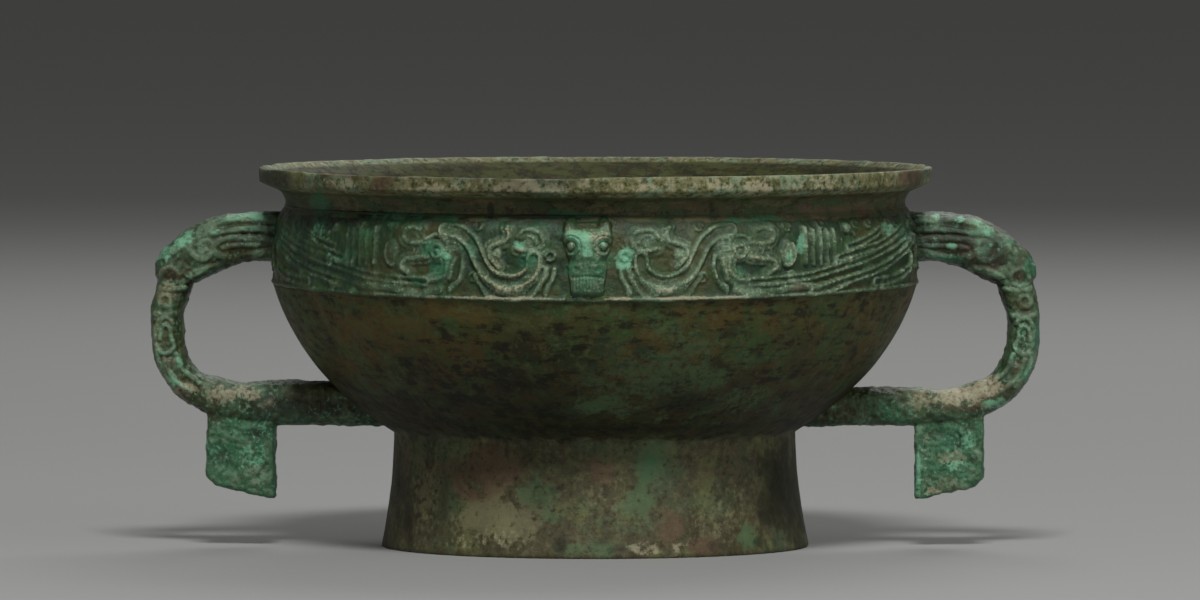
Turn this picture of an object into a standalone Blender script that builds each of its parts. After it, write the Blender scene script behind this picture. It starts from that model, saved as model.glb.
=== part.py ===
"""Bronze gui: a footed food vessel with two beast-head handles, cast in one piece.

Origin at the middle of the foot ring's underside, +Z up, the handles along X, the front towards -Y.
"""

import math

import bmesh
import bpy
from mathutils import Vector

MM = 0.001

# Mouth and neck
RIM_RADIUS = 110.0 * MM
RIM_HEIGHT = 124.0 * MM
LIP_DEPTH = 6.0 * MM
LIP_LAND = 2.6 * MM
LIP_DRAFT = 0.3 * MM
LIP_OVERHANG = 8.7 * MM
NECK_HEIGHT = 7.5 * MM

# Frieze band, whose ground leans out a little towards its foot
BAND_DEPTH = 24.5 * MM
BAND_STEP = 3.1 * MM
BAND_LEAN = 0.9 * MM
BORDER_WIDTH = 2.2 * MM
BORDER_PROUD = 1.1 * MM
RELIEF_PROUD = 1.3 * MM
RELIEF_ROOT = 1.2 * MM
RIBBON_WIDTH = 3.4 * MM
RIDGE_WIDTH = 1.9 * MM
LINE_WIDTH = 1.5 * MM
EYE_RADIUS = 2.0 * MM
LEAF_RADII = (2.6 * MM, 4.2 * MM)

# Bowl and foot ring
WALL = 3.5 * MM
BOWL_SAG = 12.0 * MM
FOOT_HEIGHT = 37.4 * MM
FOOT_TOP_RADIUS = 65.5 * MM
FOOT_BASE_RADIUS = 69.7 * MM
FOOT_WALL = 3.5 * MM
FOOT_HOLLOW = 0.9 * MM

# Handles: alike on both sides, but the right-hand bar is slimmer and set a little lower
HANDLE_SPAN = 40.8 * MM
LIMB_DROP = 9.5 * MM
LIMB_DEPTH = 16.4 * MM
LIMB_BREADTH = 19.0 * MM
LEFT_BAR_RISE = 9.2 * MM
LEFT_BAR_DEPTH = 14.6 * MM
RIGHT_BAR_RISE = 8.2 * MM
RIGHT_BAR_DEPTH = 12.6 * MM
LOOP_DEPTH = 10.8 * MM
LOOP_BREADTH = 17.0 * MM
TAB_SETBACK = 18.2 * MM
TAB_WIDTH = 22.5 * MM
TAB_BREADTH = 13.0 * MM
TAB_BOTTOM = 15.6 * MM
TAB_SLANT = 5.6 * MM
TAB_BEVEL = 0.8 * MM
CARVING_PROUD = 1.2 * MM
CARVING_ROOT = 4.8 * MM
HORN_WIDTH = 3.6 * MM
HORN_RISES = (5.2 * MM, -2.0 * MM)
CURL_WIDTH = 2.0 * MM
BEAST_EYE_RADIUS = 2.4 * MM
BEAST_BROW_RADIUS = 5.4 * MM
BIRD_EYE_RADIUS = 2.0 * MM
WING_RADII = (3.4 * MM, 5.1 * MM)

# Small beast heads at the middle of the frieze
HEAD_WIDTH = 16.6 * MM
HEAD_HEIGHT = 23.4 * MM
HEAD_LIFT = 0.4 * MM
HEAD_PROUD = 4.6 * MM
HEAD_EYE_RADIUS = 2.3 * MM
HEAD_HORN_WIDTH = 3.4 * MM
HEAD_NOSE_WIDTH = 3.0 * MM

# How finely round forms are cut
TURN_STEPS = 56
BELLY_STEPS = 5
BASE_STEPS = 2
LIMB_SIDES = 10

# Radii and heights that follow from the sizes above
NECK_RADIUS = RIM_RADIUS - LIP_OVERHANG
BAND_TOP_RADIUS = NECK_RADIUS + BAND_STEP
BAND_FOOT_RADIUS = BAND_TOP_RADIUS + BAND_LEAN
HANDLE_REACH = BAND_TOP_RADIUS + HANDLE_SPAN
LIP_FOOT = RIM_HEIGHT - LIP_DEPTH
BAND_TOP = LIP_FOOT - NECK_HEIGHT
BAND_FOOT = BAND_TOP - BAND_DEPTH
LIMB_HEIGHT = BAND_TOP - LIMB_DROP
TAB_OUTER = HANDLE_REACH - TAB_SETBACK

# The belly's curve pulls towards a point at these shares of its breadth and height
BELLY_PULL_OUT = 0.77
BELLY_PULL_UP = 0.38
BASE_POWER = 3.0

# The frieze's figures start this many degrees round from the middle heads
FIGURE_START = 1.3

# The creature of the frieze, for one quarter: degrees from its start, share of the band's depth
CREST = [(8.0, 0.49), (8.3, 0.34), (9.9, 0.22), (12.3, 0.18), (14.7, 0.22), (16.7, 0.33), (18.0, 0.49),
         (18.9, 0.63), (20.2, 0.74), (22.1, 0.83), (24.6, 0.86)]
CURL = [(11.0, 0.61), (8.9, 0.59), (6.9, 0.62), (6.4, 0.71), (7.1, 0.82), (8.9, 0.86), (10.3, 0.84),
        (11.0, 0.76)]
HOOK = [(13.2, 0.90), (12.7, 0.76), (15.2, 0.66), (16.1, 0.53), (14.3, 0.37)]
BROW = [(24.0, 0.67), (26.2, 0.79), (28.4, 0.68), (30.6, 0.67), (33.0, 0.72), (32.4, 0.87), (29.8, 0.85)]
BEAK = [(27.8, 0.49), (31.0, 0.46), (33.3, 0.37), (31.8, 0.27)]
LEG = [(21.2, 0.51), (21.0, 0.35), (21.9, 0.17), (24.2, 0.12)]
UPPER_TAIL = [(48.0, 0.44), (56.1, 0.54), (64.5, 0.65), (71.8, 0.80)]
MIDDLE_TAIL = [(28.2, 0.17), (37.0, 0.20), (45.5, 0.29), (55.8, 0.42), (65.0, 0.56), (73.0, 0.71)]
LOWER_TAIL = [(41.1, 0.05), (49.1, 0.14), (57.8, 0.24), (66.8, 0.39), (73.0, 0.52), (78.0, 0.63)]
SIDE_HOOK = [(80.4, 0.65), (81.4, 0.46), (78.8, 0.25)]
WING_BARS = [39.8, 42.6, 44.8, 47.0]
WING_BAR_SHARES = (0.38, 0.84)
EYE = (26.0, 0.57)
LEAF = (35.7, 0.54)

# Rows of the small head from muzzle to forehead: share of height, half-width share, proud share
HEAD_ROWS = [(0.00, 0.62, 0.55), (0.16, 0.70, 0.80), (0.34, 0.58, 0.86), (0.52, 0.74, 0.78),
             (0.68, 0.92, 0.72), (0.84, 0.90, 0.62), (0.92, 0.84, 0.35)]
HEAD_HORN = [(0.34, 0.73), (0.35, 0.85), (0.36, 1.0)]
HEAD_COLUMNS = [(-1.0, -1.0), (-1.0, 0.35), (-0.55, 0.82), (0.0, 1.0), (0.55, 0.82), (1.0, 0.35), (1.0, -1.0)]


def clear_scene():
    for obj in list(bpy.data.objects):
        bpy.data.objects.remove(obj, do_unlink=True)


def bronze():
    material = bpy.data.materials.new("patinated_bronze")
    material.use_nodes = True
    shader = material.node_tree.nodes["Principled BSDF"]
    shader.inputs["Base Color"].default_value = (0.075, 0.105, 0.07, 1.0)
    shader.inputs["Metallic"].default_value = 0.35
    shader.inputs["Roughness"].default_value = 0.62
    return material


def add_object(name, mesh, material, is_tool):
    """Puts a bmesh into the scene; a tool only lends its form to the casting."""
    bmesh.ops.recalc_face_normals(mesh, faces=mesh.faces)
    data = bpy.data.meshes.new(name)
    mesh.to_mesh(data)
    mesh.free()
    data.materials.append(material)
    obj = bpy.data.objects.new(name, data)
    bpy.context.collection.objects.link(obj)
    if is_tool:
        obj.hide_render = True
        obj.display_type = "WIRE"
    return obj


def turned(name, outline, material, is_tool):
    """A solid of revolution; the outline starts and ends on the axis."""
    mesh = bmesh.new()
    verts = [mesh.verts.new((radius, 0.0, height)) for radius, height in outline]
    edges = [mesh.edges.new(pair) for pair in zip(verts, verts[1:])]
    bmesh.ops.spin(mesh, geom=verts + edges, cent=(0, 0, 0), axis=(0, 0, 1), dvec=(0, 0, 0),
                   angle=math.tau, steps=TURN_STEPS, use_merge=True)
    bmesh.ops.remove_doubles(mesh, verts=mesh.verts, dist=0.01 * MM)
    return add_object(name, mesh, material, is_tool)


def pulled_curve(start, pull, end, steps):
    """Points of a curve from start to end that leans towards the pull point."""
    points = []
    for step in range(steps + 1):
        t = step / steps
        points.append(tuple((1 - t) ** 2 * a + 2 * t * (1 - t) * b + t * t * c
                            for a, b, c in zip(start, pull, end)))
    return points


def belly_curve(inset):
    """The belly from the foot's top up to the border, moved in by a wall's thickness."""
    start = (FOOT_TOP_RADIUS, FOOT_HEIGHT)
    end = (BAND_FOOT_RADIUS, BAND_FOOT)
    pull = (start[0] + BELLY_PULL_OUT * (end[0] - start[0]), start[1] + BELLY_PULL_UP * (end[1] - start[1]))
    curve = pulled_curve(start, pull, end, BELLY_STEPS)
    if inset == 0:
        return curve
    moved = []
    for index, (radius, height) in enumerate(curve):
        before = curve[max(index - 1, 0)]
        after = curve[min(index + 1, BELLY_STEPS)]
        along = Vector((after[0] - before[0], after[1] - before[1])).normalized()
        moved.append((radius - along.y * inset, height + along.x * inset))
    return moved


def base_curve(edge, sag):
    """The bowl's base, from the axis out to the given edge point."""
    points = []
    for step in range(BASE_STEPS):
        share = step / BASE_STEPS
        points.append((edge[0] * share, edge[1] - sag * (1 - share ** BASE_POWER)))
    return points


def foot_curve(inset):
    """The foot ring's flaring side from bottom to top."""
    points = []
    steps = 3
    for step in range(steps + 1):
        t = step / steps
        radius = FOOT_BASE_RADIUS + (FOOT_TOP_RADIUS - FOOT_BASE_RADIUS) * t
        points.append((radius - FOOT_HOLLOW * math.sin(math.pi * t) - inset, FOOT_HEIGHT * t))
    return points


def band_radius(height):
    share = (height - BAND_FOOT) / BAND_DEPTH
    return BAND_FOOT_RADIUS + (BAND_TOP_RADIUS - BAND_FOOT_RADIUS) * share


def vessel_outline():
    """Outside of the vessel, as a full solid, from the axis underneath to the axis on top."""
    outline = [(0.0, 0.0)]
    outline += foot_curve(0.0)[:-1]
    outline += belly_curve(0.0)
    outline.append((BAND_FOOT_RADIUS + BORDER_PROUD, BAND_FOOT + 0.25 * BORDER_WIDTH))
    outline.append((BAND_FOOT_RADIUS + BORDER_PROUD, BAND_FOOT + 0.7 * BORDER_WIDTH))
    outline.append((band_radius(BAND_FOOT + BORDER_WIDTH), BAND_FOOT + BORDER_WIDTH))
    outline.append((BAND_TOP_RADIUS, BAND_TOP))
    flare = RIM_RADIUS - NECK_RADIUS
    outline.append((NECK_RADIUS, BAND_TOP + 0.2 * NECK_HEIGHT))
    outline.append((NECK_RADIUS + 0.15 * flare, BAND_TOP + 0.75 * NECK_HEIGHT))
    outline.append((RIM_RADIUS - LIP_DRAFT, LIP_FOOT))
    outline.append((RIM_RADIUS, RIM_HEIGHT))
    outline.append((0.0, RIM_HEIGHT))
    return outline


def bowl_outline():
    """The hollow of the bowl, running out past the mouth."""
    inner = belly_curve(WALL)
    inner[-1] = (BAND_FOOT_RADIUS - WALL, BAND_FOOT)
    outline = base_curve(inner[0], BOWL_SAG)
    outline += inner
    throat = NECK_RADIUS - WALL
    mouth = RIM_RADIUS - LIP_LAND
    outline.append((0.35 * throat + 0.65 * (BAND_TOP_RADIUS - WALL), BAND_FOOT + 0.66 * BAND_DEPTH))
    neck = (throat, 0.5 * (BAND_TOP + LIP_FOOT))
    outline += pulled_curve(neck, (throat + 0.25 * (mouth - throat), LIP_FOOT), (mouth, RIM_HEIGHT), 3)
    outline.append((mouth + WALL, RIM_HEIGHT + WALL))
    outline.append((0.0, RIM_HEIGHT + WALL))
    return outline


def foot_hollow_outline():
    """The hollow inside the foot ring, up to the bowl's underside."""
    side = foot_curve(FOOT_WALL)
    edge = (side[-1][0], FOOT_HEIGHT - 0.3 * FOOT_WALL)
    outline = [(0.0, -WALL), (side[0][0], -WALL)]
    outline += side[:-1]
    outline.append(edge)
    outline += reversed(base_curve(edge, BOWL_SAG))
    return outline


class Band:
    """The frieze's ground, laid out flat: metres round from the middle, metres up from the border."""

    def __init__(self, middle, side):
        self.middle = middle
        self.side = side

    def flat(self, turn, share):
        return Vector((math.radians(turn + FIGURE_START) * BAND_FOOT_RADIUS, share * BAND_DEPTH))

    def place(self, flat, proud):
        height = BAND_FOOT + flat.y
        radius = band_radius(height) + proud
        angle = self.middle + self.side * flat.x / BAND_FOOT_RADIUS
        return Vector((radius * math.sin(angle), -radius * math.cos(angle), height))


class LimbFace:
    """The flat of a handle's limb: metres out along X and metres up, on one of its two sides."""

    def __init__(self, side, face, breadth):
        self.side = side
        self.face = face
        self.breadth = breadth

    def flat(self, out, height):
        return Vector((out, height))

    def place(self, flat, proud):
        return Vector((self.side * flat.x, self.face * (0.5 * self.breadth + proud), flat.y))


def arc(centre, radii, first, last, count):
    """Points along an oval arc, from the first to the last angle in degrees."""
    points = []
    for index in range(count):
        angle = math.radians(first + (last - first) * index / (count - 1))
        points.append(centre + Vector((radii[0] * math.cos(angle), radii[1] * math.sin(angle))))
    return points


def close_rings(mesh, rings):
    """Skins a row of equal rings and caps both ends."""
    for first, second in zip(rings, rings[1:]):
        count = len(first)
        for index in range(count):
            after = (index + 1) % count
            mesh.faces.new((first[index], first[after], second[after], second[index]))
    mesh.faces.new(rings[0])
    mesh.faces.new(tuple(reversed(rings[-1])))


def stroke(mesh, ground, route, width, proud, root, grooved):
    """A raised ribbon along a route on a ground, narrowed at its ends; a wide one has a groove."""
    rings = []
    last = len(route) - 1
    for index, spot in enumerate(route):
        before = route[max(index - 1, 0)]
        after = route[min(index + 1, last)]
        along = (after - before).normalized()
        across = Vector((-along.y, along.x))
        is_end = index in (0, last)
        half = 0.5 * width * (0.55 if is_end else 1.0)
        rise = proud * (0.6 if is_end else 1.0)
        section = [(-half, -root), (-0.62 * half, rise), (0.62 * half, rise), (half, -root)]
        if grooved:
            section.insert(2, (0.0, 0.35 * rise))
        rings.append([mesh.verts.new(ground.place(spot + across * side, up)) for side, up in section])
    close_rings(mesh, rings)


def boss(mesh, ground, centre, radii, proud, root, sides):
    """A raised round or oval button with a domed top."""
    rings = []
    for share, rise in ((1.0, -root), (1.0, 0.45 * proud), (0.55, proud)):
        ring = []
        for index in range(sides):
            angle = math.tau * index / sides
            offset = Vector((radii[0] * math.cos(angle), radii[1] * math.sin(angle))) * share
            ring.append(mesh.verts.new(ground.place(centre + offset, rise)))
        rings.append(ring)
    close_rings(mesh, rings)


def frieze_quarter(mesh, ground):
    """One creature with its curled crest, round eye, barred wing and long sweeping tail."""
    ridges = [CURL, HOOK, BROW, BEAK, LEG, LOWER_TAIL]
    lines = [UPPER_TAIL, MIDDLE_TAIL, SIDE_HOOK]
    for turn in WING_BARS:
        lines.append([(turn, WING_BAR_SHARES[0]), (turn, WING_BAR_SHARES[1])])
    for forms, width in (([CREST], RIBBON_WIDTH), (ridges, RIDGE_WIDTH), (lines, LINE_WIDTH)):
        for points in forms:
            route = [ground.flat(*point) for point in points]
            stroke(mesh, ground, route, width, RELIEF_PROUD, RELIEF_ROOT, points is CREST)
    boss(mesh, ground, ground.flat(*EYE), (EYE_RADIUS, EYE_RADIUS), 1.3 * RELIEF_PROUD, RELIEF_ROOT, 6)
    boss(mesh, ground, ground.flat(*LEAF), LEAF_RADII, 1.1 * RELIEF_PROUD, RELIEF_ROOT, 8)


def frieze(material):
    mesh = bmesh.new()
    for middle in (0.0, math.pi):
        for side in (-1, 1):
            frieze_quarter(mesh, Band(middle, side))
    return add_object("frieze_relief", mesh, material, True)


def beast_head(mesh, ground):
    """A small broad-browed head with upright horns and round eyes."""
    foot = HEAD_LIFT
    rings = []
    for height, half, rise in HEAD_ROWS:
        ring = []
        for across, share in HEAD_COLUMNS:
            flat = Vector((0.5 * HEAD_WIDTH * half * across, foot + HEAD_HEIGHT * height))
            lift = rise * HEAD_PROUD * share if share > 0 else -RELIEF_ROOT
            ring.append(mesh.verts.new(ground.place(flat, lift)))
        rings.append(ring)
    close_rings(mesh, rings)
    for side in (-1, 1):
        eye = Vector((side * 0.31 * HEAD_WIDTH, foot + 0.64 * HEAD_HEIGHT))
        boss(mesh, ground, eye, (HEAD_EYE_RADIUS, HEAD_EYE_RADIUS), HEAD_PROUD, RELIEF_ROOT, 6)
        horn = [Vector((side * across * HEAD_WIDTH, foot + up * HEAD_HEIGHT)) for across, up in HEAD_HORN]
        stroke(mesh, ground, horn, HEAD_HORN_WIDTH, 0.8 * HEAD_PROUD, RELIEF_ROOT, False)
    nose = [Vector((0.0, foot + 0.05 * HEAD_HEIGHT)), Vector((0.0, foot + 0.5 * HEAD_HEIGHT))]
    stroke(mesh, ground, nose, HEAD_NOSE_WIDTH, 1.05 * HEAD_PROUD, RELIEF_ROOT, False)


def small_heads(material):
    mesh = bmesh.new()
    for middle in (0.0, math.pi):
        beast_head(mesh, Band(middle, 1))
    return add_object("middle_heads", mesh, material, True)


def handle_stations(bar, bar_depth):
    """The limb's centre line: out, height, depth across the line and breadth, from band to belly."""
    root = BAND_TOP_RADIUS
    top = LIMB_HEIGHT
    reach = HANDLE_REACH - root
    rise = top - bar
    spine = HANDLE_REACH - 0.5 * LOOP_DEPTH
    return [
        (root - WALL, top, LIMB_DEPTH, LIMB_BREADTH),
        (root + 0.20 * reach, top, LIMB_DEPTH, LIMB_BREADTH),
        (root + 0.42 * reach, top - 0.03 * rise, 1.06 * LIMB_DEPTH, 1.04 * LIMB_BREADTH),
        (root + 0.60 * reach, top - 0.09 * rise, 1.04 * LIMB_DEPTH, 1.04 * LIMB_BREADTH),
        (root + 0.745 * reach, top - 0.165 * rise, 0.97 * LIMB_DEPTH, LIMB_BREADTH),
        (spine - 0.068 * reach, top - 0.21 * rise, 0.9 * LIMB_DEPTH, LIMB_BREADTH),
        (spine - 0.067 * reach, top - 0.27 * rise, 1.12 * LOOP_DEPTH, 0.92 * LOOP_BREADTH),
        (spine - 0.036 * reach, top - 0.35 * rise, 1.05 * LOOP_DEPTH, 0.96 * LOOP_BREADTH),
        (spine, top - 0.44 * rise, LOOP_DEPTH, LOOP_BREADTH),
        (spine, top - 0.58 * rise, LOOP_DEPTH, LOOP_BREADTH),
        (spine - 0.04 * reach, top - 0.74 * rise, LOOP_DEPTH, LOOP_BREADTH),
        (spine - 0.17 * reach, top - 0.885 * rise, LOOP_DEPTH, LOOP_BREADTH),
        (spine - 0.37 * reach, top - 0.96 * rise, 0.5 * (LOOP_DEPTH + bar_depth), LOOP_BREADTH),
        (spine - 0.62 * reach, bar, 0.9 * bar_depth, LOOP_BREADTH),
        (root - 0.05 * reach, bar, bar_depth, LOOP_BREADTH),
        (FOOT_TOP_RADIUS - 2 * WALL, bar, 1.04 * bar_depth, LOOP_BREADTH),
    ]


def limb(mesh, side, stations):
    """The handle's round-cornered limb, swept along its centre line."""
    last = len(stations) - 1
    rings = []
    for index, (out, height, depth, breadth) in enumerate(stations):
        before = stations[max(index - 1, 0)]
        after = stations[min(index + 1, last)]
        along = Vector((after[0] - before[0], after[1] - before[1])).normalized()
        across = Vector((-along.y, along.x))
        ring = []
        for corner in range(LIMB_SIDES):
            angle = math.tau * (corner + 0.5) / LIMB_SIDES
            sine = math.sin(angle)
            cosine = math.cos(angle)
            fill = (abs(sine) ** 3 + abs(cosine) ** 3) ** (-1 / 3)
            spot = Vector((out, height)) + across * (0.5 * depth * fill * sine)
            ring.append(mesh.verts.new((side * spot.x, 0.5 * breadth * fill * cosine, spot.y)))
        rings.append(ring)
    close_rings(mesh, rings)


def tab(mesh, side, top):
    """The square tab that hangs under the bar, its bottom edge slanting up to the outside."""
    inner = TAB_OUTER - TAB_WIDTH
    corner = 0.12 * TAB_WIDTH
    outline = [(inner, top), (inner, TAB_BOTTOM), (inner + corner, TAB_BOTTOM),
               (TAB_OUTER - corner, TAB_BOTTOM + 0.8 * TAB_SLANT), (TAB_OUTER, TAB_BOTTOM + TAB_SLANT),
               (TAB_OUTER, top)]
    half = 0.5 * TAB_BREADTH
    rings = []
    bevel = TAB_BEVEL
    for across, inset in ((-half, bevel), (-half + bevel, 0.0), (half - bevel, 0.0), (half, bevel)):
        ring = []
        middle = 0.5 * (inner + TAB_OUTER)
        for out, height in outline:
            pull = math.copysign(inset, middle - out)
            ring.append(mesh.verts.new((side * (out + pull), across, height + inset)))
        rings.append(ring)
    close_rings(mesh, rings)


def handle_carving(mesh, side, stations):
    """Horns, eye and brow of the upper beast and the eye and wing of the bird below it."""
    root = BAND_TOP_RADIUS
    for face in (-1, 1):
        upper = LimbFace(side, face, LIMB_BREADTH)
        lower = LimbFace(side, face, LOOP_BREADTH)
        eye = Vector((stations[3][0], stations[3][1] + 0.06 * LIMB_DEPTH))
        boss(mesh, upper, eye, (BEAST_EYE_RADIUS, BEAST_EYE_RADIUS), 1.6 * CARVING_PROUD, CARVING_ROOT, 8)
        for rise in HORN_RISES:
            line = [(root - 0.3 * WALL, LIMB_HEIGHT), stations[1], stations[2]]
            horn = [Vector((spot[0], spot[1] + rise)) for spot in line]
            stroke(mesh, upper, horn, HORN_WIDTH, CARVING_PROUD, CARVING_ROOT, True)
        brow = arc(eye, (BEAST_BROW_RADIUS, BEAST_BROW_RADIUS), 166, -17, 5)
        stroke(mesh, upper, brow, CURL_WIDTH, CARVING_PROUD, CARVING_ROOT, False)
        bird = Vector((stations[8][0], stations[8][1]))
        boss(mesh, lower, bird, (BIRD_EYE_RADIUS, BIRD_EYE_RADIUS), CARVING_PROUD, CARVING_ROOT, 8)
        wing = Vector((stations[9][0], stations[9][1] - 0.6 * WING_RADII[1]))
        curl = arc(wing, WING_RADII, 137, -149, 6)
        stroke(mesh, lower, curl, CURL_WIDTH, CARVING_PROUD, CARVING_ROOT, False)


def handle(name, side, bar_rise, bar_depth, material):
    mesh = bmesh.new()
    bar_height = FOOT_HEIGHT + bar_rise
    stations = handle_stations(bar_height, bar_depth)
    limb(mesh, side, stations)
    tab(mesh, side, bar_height)
    handle_carving(mesh, side, stations)
    return add_object(name, mesh, material, True)


def combine(body, tool, operation):
    step = body.modifiers.new(tool.name, "BOOLEAN")
    step.operation = operation
    step.solver = "EXACT"
    step.use_self = operation == "UNION"
    step.object = tool


def main():
    clear_scene()
    material = bronze()
    vessel = turned("gui_vessel", vessel_outline(), material, False)
    combine(vessel, handle("left_handle", -1, LEFT_BAR_RISE, LEFT_BAR_DEPTH, material), "UNION")
    combine(vessel, handle("right_handle", 1, RIGHT_BAR_RISE, RIGHT_BAR_DEPTH, material), "UNION")
    combine(vessel, frieze(material), "UNION")
    combine(vessel, small_heads(material), "UNION")
    combine(vessel, turned("bowl_hollow", bowl_outline(), material, True), "DIFFERENCE")
    combine(vessel, turned("foot_hollow", foot_hollow_outline(), material, True), "DIFFERENCE")


main()
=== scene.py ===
"""Bronze gui: a footed food vessel with a cast frieze, two middle heads and two beast handles.

Origin at the middle of the foot ring's underside, +Z up, the handles along X, the front towards -Y.
"""

import math

import bpy
import numpy as np
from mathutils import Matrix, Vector


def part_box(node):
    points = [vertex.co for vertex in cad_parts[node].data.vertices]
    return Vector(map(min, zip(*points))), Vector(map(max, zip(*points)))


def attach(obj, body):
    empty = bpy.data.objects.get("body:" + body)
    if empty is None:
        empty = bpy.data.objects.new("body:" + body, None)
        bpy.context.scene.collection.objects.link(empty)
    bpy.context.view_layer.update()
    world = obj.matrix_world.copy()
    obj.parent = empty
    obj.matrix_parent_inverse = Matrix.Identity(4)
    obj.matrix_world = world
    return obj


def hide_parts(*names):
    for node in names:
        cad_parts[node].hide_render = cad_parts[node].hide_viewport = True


MM = 0.001

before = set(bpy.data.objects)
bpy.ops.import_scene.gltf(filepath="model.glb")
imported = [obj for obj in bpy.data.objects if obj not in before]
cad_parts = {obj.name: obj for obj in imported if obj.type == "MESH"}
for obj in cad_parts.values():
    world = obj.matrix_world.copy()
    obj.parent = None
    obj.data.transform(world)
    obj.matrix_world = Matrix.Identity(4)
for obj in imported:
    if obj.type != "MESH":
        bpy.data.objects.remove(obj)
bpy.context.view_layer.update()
NODE_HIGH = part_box("gui_vessel")[1]

# Camera, as the photograph was taken: a long lens, nearly level, from a little to the right
CAMERA_DISTANCE = 3.9
CAMERA_AZIMUTH = 1.3
CAMERA_HEIGHT = 0.2484
AIM = (0.0016, 0.0, 0.0803)
LENS = 358.5

# Studio light: place, size and power of each lamp, and what comes from all round
LAMPS = {
    "key": ((0.15, -1.64, 2.06), (0.7, 0.5), 44),
    "fill": ((1.8, -1.2, 0.9), (1.4, 1.4), 6),
    "back": ((0.4, 1.8, 1.6), (1.4, 1.0), 15),
}
LAMP_AIM = (0, 0, 0.08)
LIGHT_ALL_ROUND = 0.11
FLOOR_REACH = 40

# Mouth and neck
RIM_RADIUS = NODE_HIGH.y
RIM_HEIGHT = NODE_HIGH.z
LIP_DEPTH = 6.0 * MM
LIP_LAND = 2.6 * MM
LIP_ROUND = 0.45 * MM
LIP_OVERHANG = 8.7 * MM
LIP_UNDERCUT = 0.5 * MM
NECK_HEIGHT = 7.5 * MM

# Frieze band
BAND_DEPTH = 24.5 * MM
BAND_STEP = 3.1 * MM
BAND_LEAN = 0.9 * MM
BAND_RECESS = 2.0 * MM
BAND_SHOULDER = 2.5 * MM
BORDER_WIDTH = 1.4 * MM
BORDER_PROUD = 1.3 * MM
BORDER_DROP = 1.8 * MM
RELIEF_PROUD = 1.75 * MM

# Bowl and foot ring
WALL = 3.5 * MM
BOWL_SAG = 12.0 * MM
FOOT_HEIGHT = 37.4 * MM
FOOT_TOP_RADIUS = 65.5 * MM
FOOT_BASE_RADIUS = 69.7 * MM
FOOT_WALL = 3.5 * MM
FOOT_HOLLOW = 0.9 * MM
BELLY_PULL_OUT = 0.77
BELLY_PULL_UP = 0.38
BASE_POWER = 3.0

# Handles: alike on both sides, but the right-hand bar is slimmer and set a little lower
HANDLE_REACH = NODE_HIGH.x
LIMB_DROP = 9.5 * MM
LIMB_DEPTH = 16.4 * MM
LIMB_BREADTH = 19.0 * MM
LEFT_BAR = (9.2 * MM, 14.6 * MM)
RIGHT_BAR = (8.2 * MM, 12.6 * MM)
LOOP_DEPTH = 10.8 * MM
LOOP_BREADTH = 17.0 * MM
TAB_SETBACK = 18.2 * MM
TAB_WIDTH = 22.5 * MM
TAB_BREADTH = 13.0 * MM
TAB_BOTTOM = 15.6 * MM
TAB_SLANT = 5.6 * MM
TAB_BEVEL = 0.8 * MM
HANDLE_GRAIN = 0.37 * MM
LIMB_SIDES = 32
PLUMES_OUT = 128 * MM

# Radii and heights that follow from the sizes above
NECK_RADIUS = RIM_RADIUS - LIP_OVERHANG
BAND_TOP_RADIUS = NECK_RADIUS + BAND_STEP
BAND_FOOT_RADIUS = BAND_TOP_RADIUS + BAND_LEAN
LIP_FOOT = RIM_HEIGHT - LIP_DEPTH
BAND_TOP = LIP_FOOT - NECK_HEIGHT
BAND_FOOT = BAND_TOP - BAND_DEPTH
LIMB_HEIGHT = BAND_TOP - LIMB_DROP
TAB_OUTER = HANDLE_REACH - TAB_SETBACK

# How finely the skins are cut
OUTER_COLUMNS = 576
OUTER_STEP = 1.15 * MM
INNER_STEP = 3.0 * MM
QUARTER_COLUMNS = 384
FRIEZE_ROWS = 54
HEAD_STEP = 0.25 * MM

# Unevenness in layers of amount, size of the lumps and seed; the amounts are millimetres of metal,
# but shares of the relief for the figures, and of a patch's own size for its edge
BODY_WEAR = [(0.30, 48 * MM, 3), (0.13, 13 * MM, 4), (0.07, 4.6 * MM, 5)]
FIGURE_WEAR = [(0.35, 9 * MM, 21), (0.3, 3 * MM, 22)]
BAND_WEAR = [(0.22, 5 * MM, 23), (0.18, 2.2 * MM, 24), (0.13, 1.2 * MM, 26)]
HEAD_WEAR = [(0.22, 3.2 * MM, 31), (0.16, 1.3 * MM, 32)]
PATCH_EDGE = [(0.5, 6 * MM, 61), (0.35, 2.2 * MM, 62)]
# Here the seeds count on from the handle's own
LIMB_WEAR = [(0.34, 8 * MM, 1), (0.30, 2.6 * MM, 2), (0.22, 1.3 * MM, 5)]
TAB_WEAR = [(0.25, 3.4 * MM, 4), (0.2, 1.5 * MM, 6)]

# The frieze's figures begin this far round from the middle heads, in degrees
FIGURE_START = 1.3

# The front's left end is corroded, and its lines are fainter: from here along X to there, and how much
CORRODED = (-78 * MM, -38 * MM)
CORRODED_LOSS = 0.55

# The creature of the frieze, for one quarter: degrees from its start, share of the band's depth
CREST = [(8.0, 0.49), (8.3, 0.34), (9.9, 0.22), (12.3, 0.18), (14.7, 0.22), (16.7, 0.33), (18.0, 0.49),
         (18.9, 0.63), (20.2, 0.74), (22.1, 0.83), (24.6, 0.86)]
OUTER_CREST = [(6.6, 0.34), (7.4, 0.17), (9.8, 0.06), (13.0, 0.05), (16.3, 0.10), (18.3, 0.25)]
CURL = [(11.0, 0.61), (8.9, 0.59), (6.9, 0.62), (6.4, 0.71), (7.1, 0.82), (8.9, 0.86), (10.3, 0.84),
        (11.0, 0.76)]
CURL_INNER = [(7.6, 0.69), (8.2, 0.76), (9.4, 0.78), (10.3, 0.75)]
HOOK = [(13.2, 0.90), (12.5, 0.81), (13.0, 0.72), (14.5, 0.68), (15.9, 0.63), (16.1, 0.53), (15.2, 0.44),
        (14.3, 0.37)]
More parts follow.
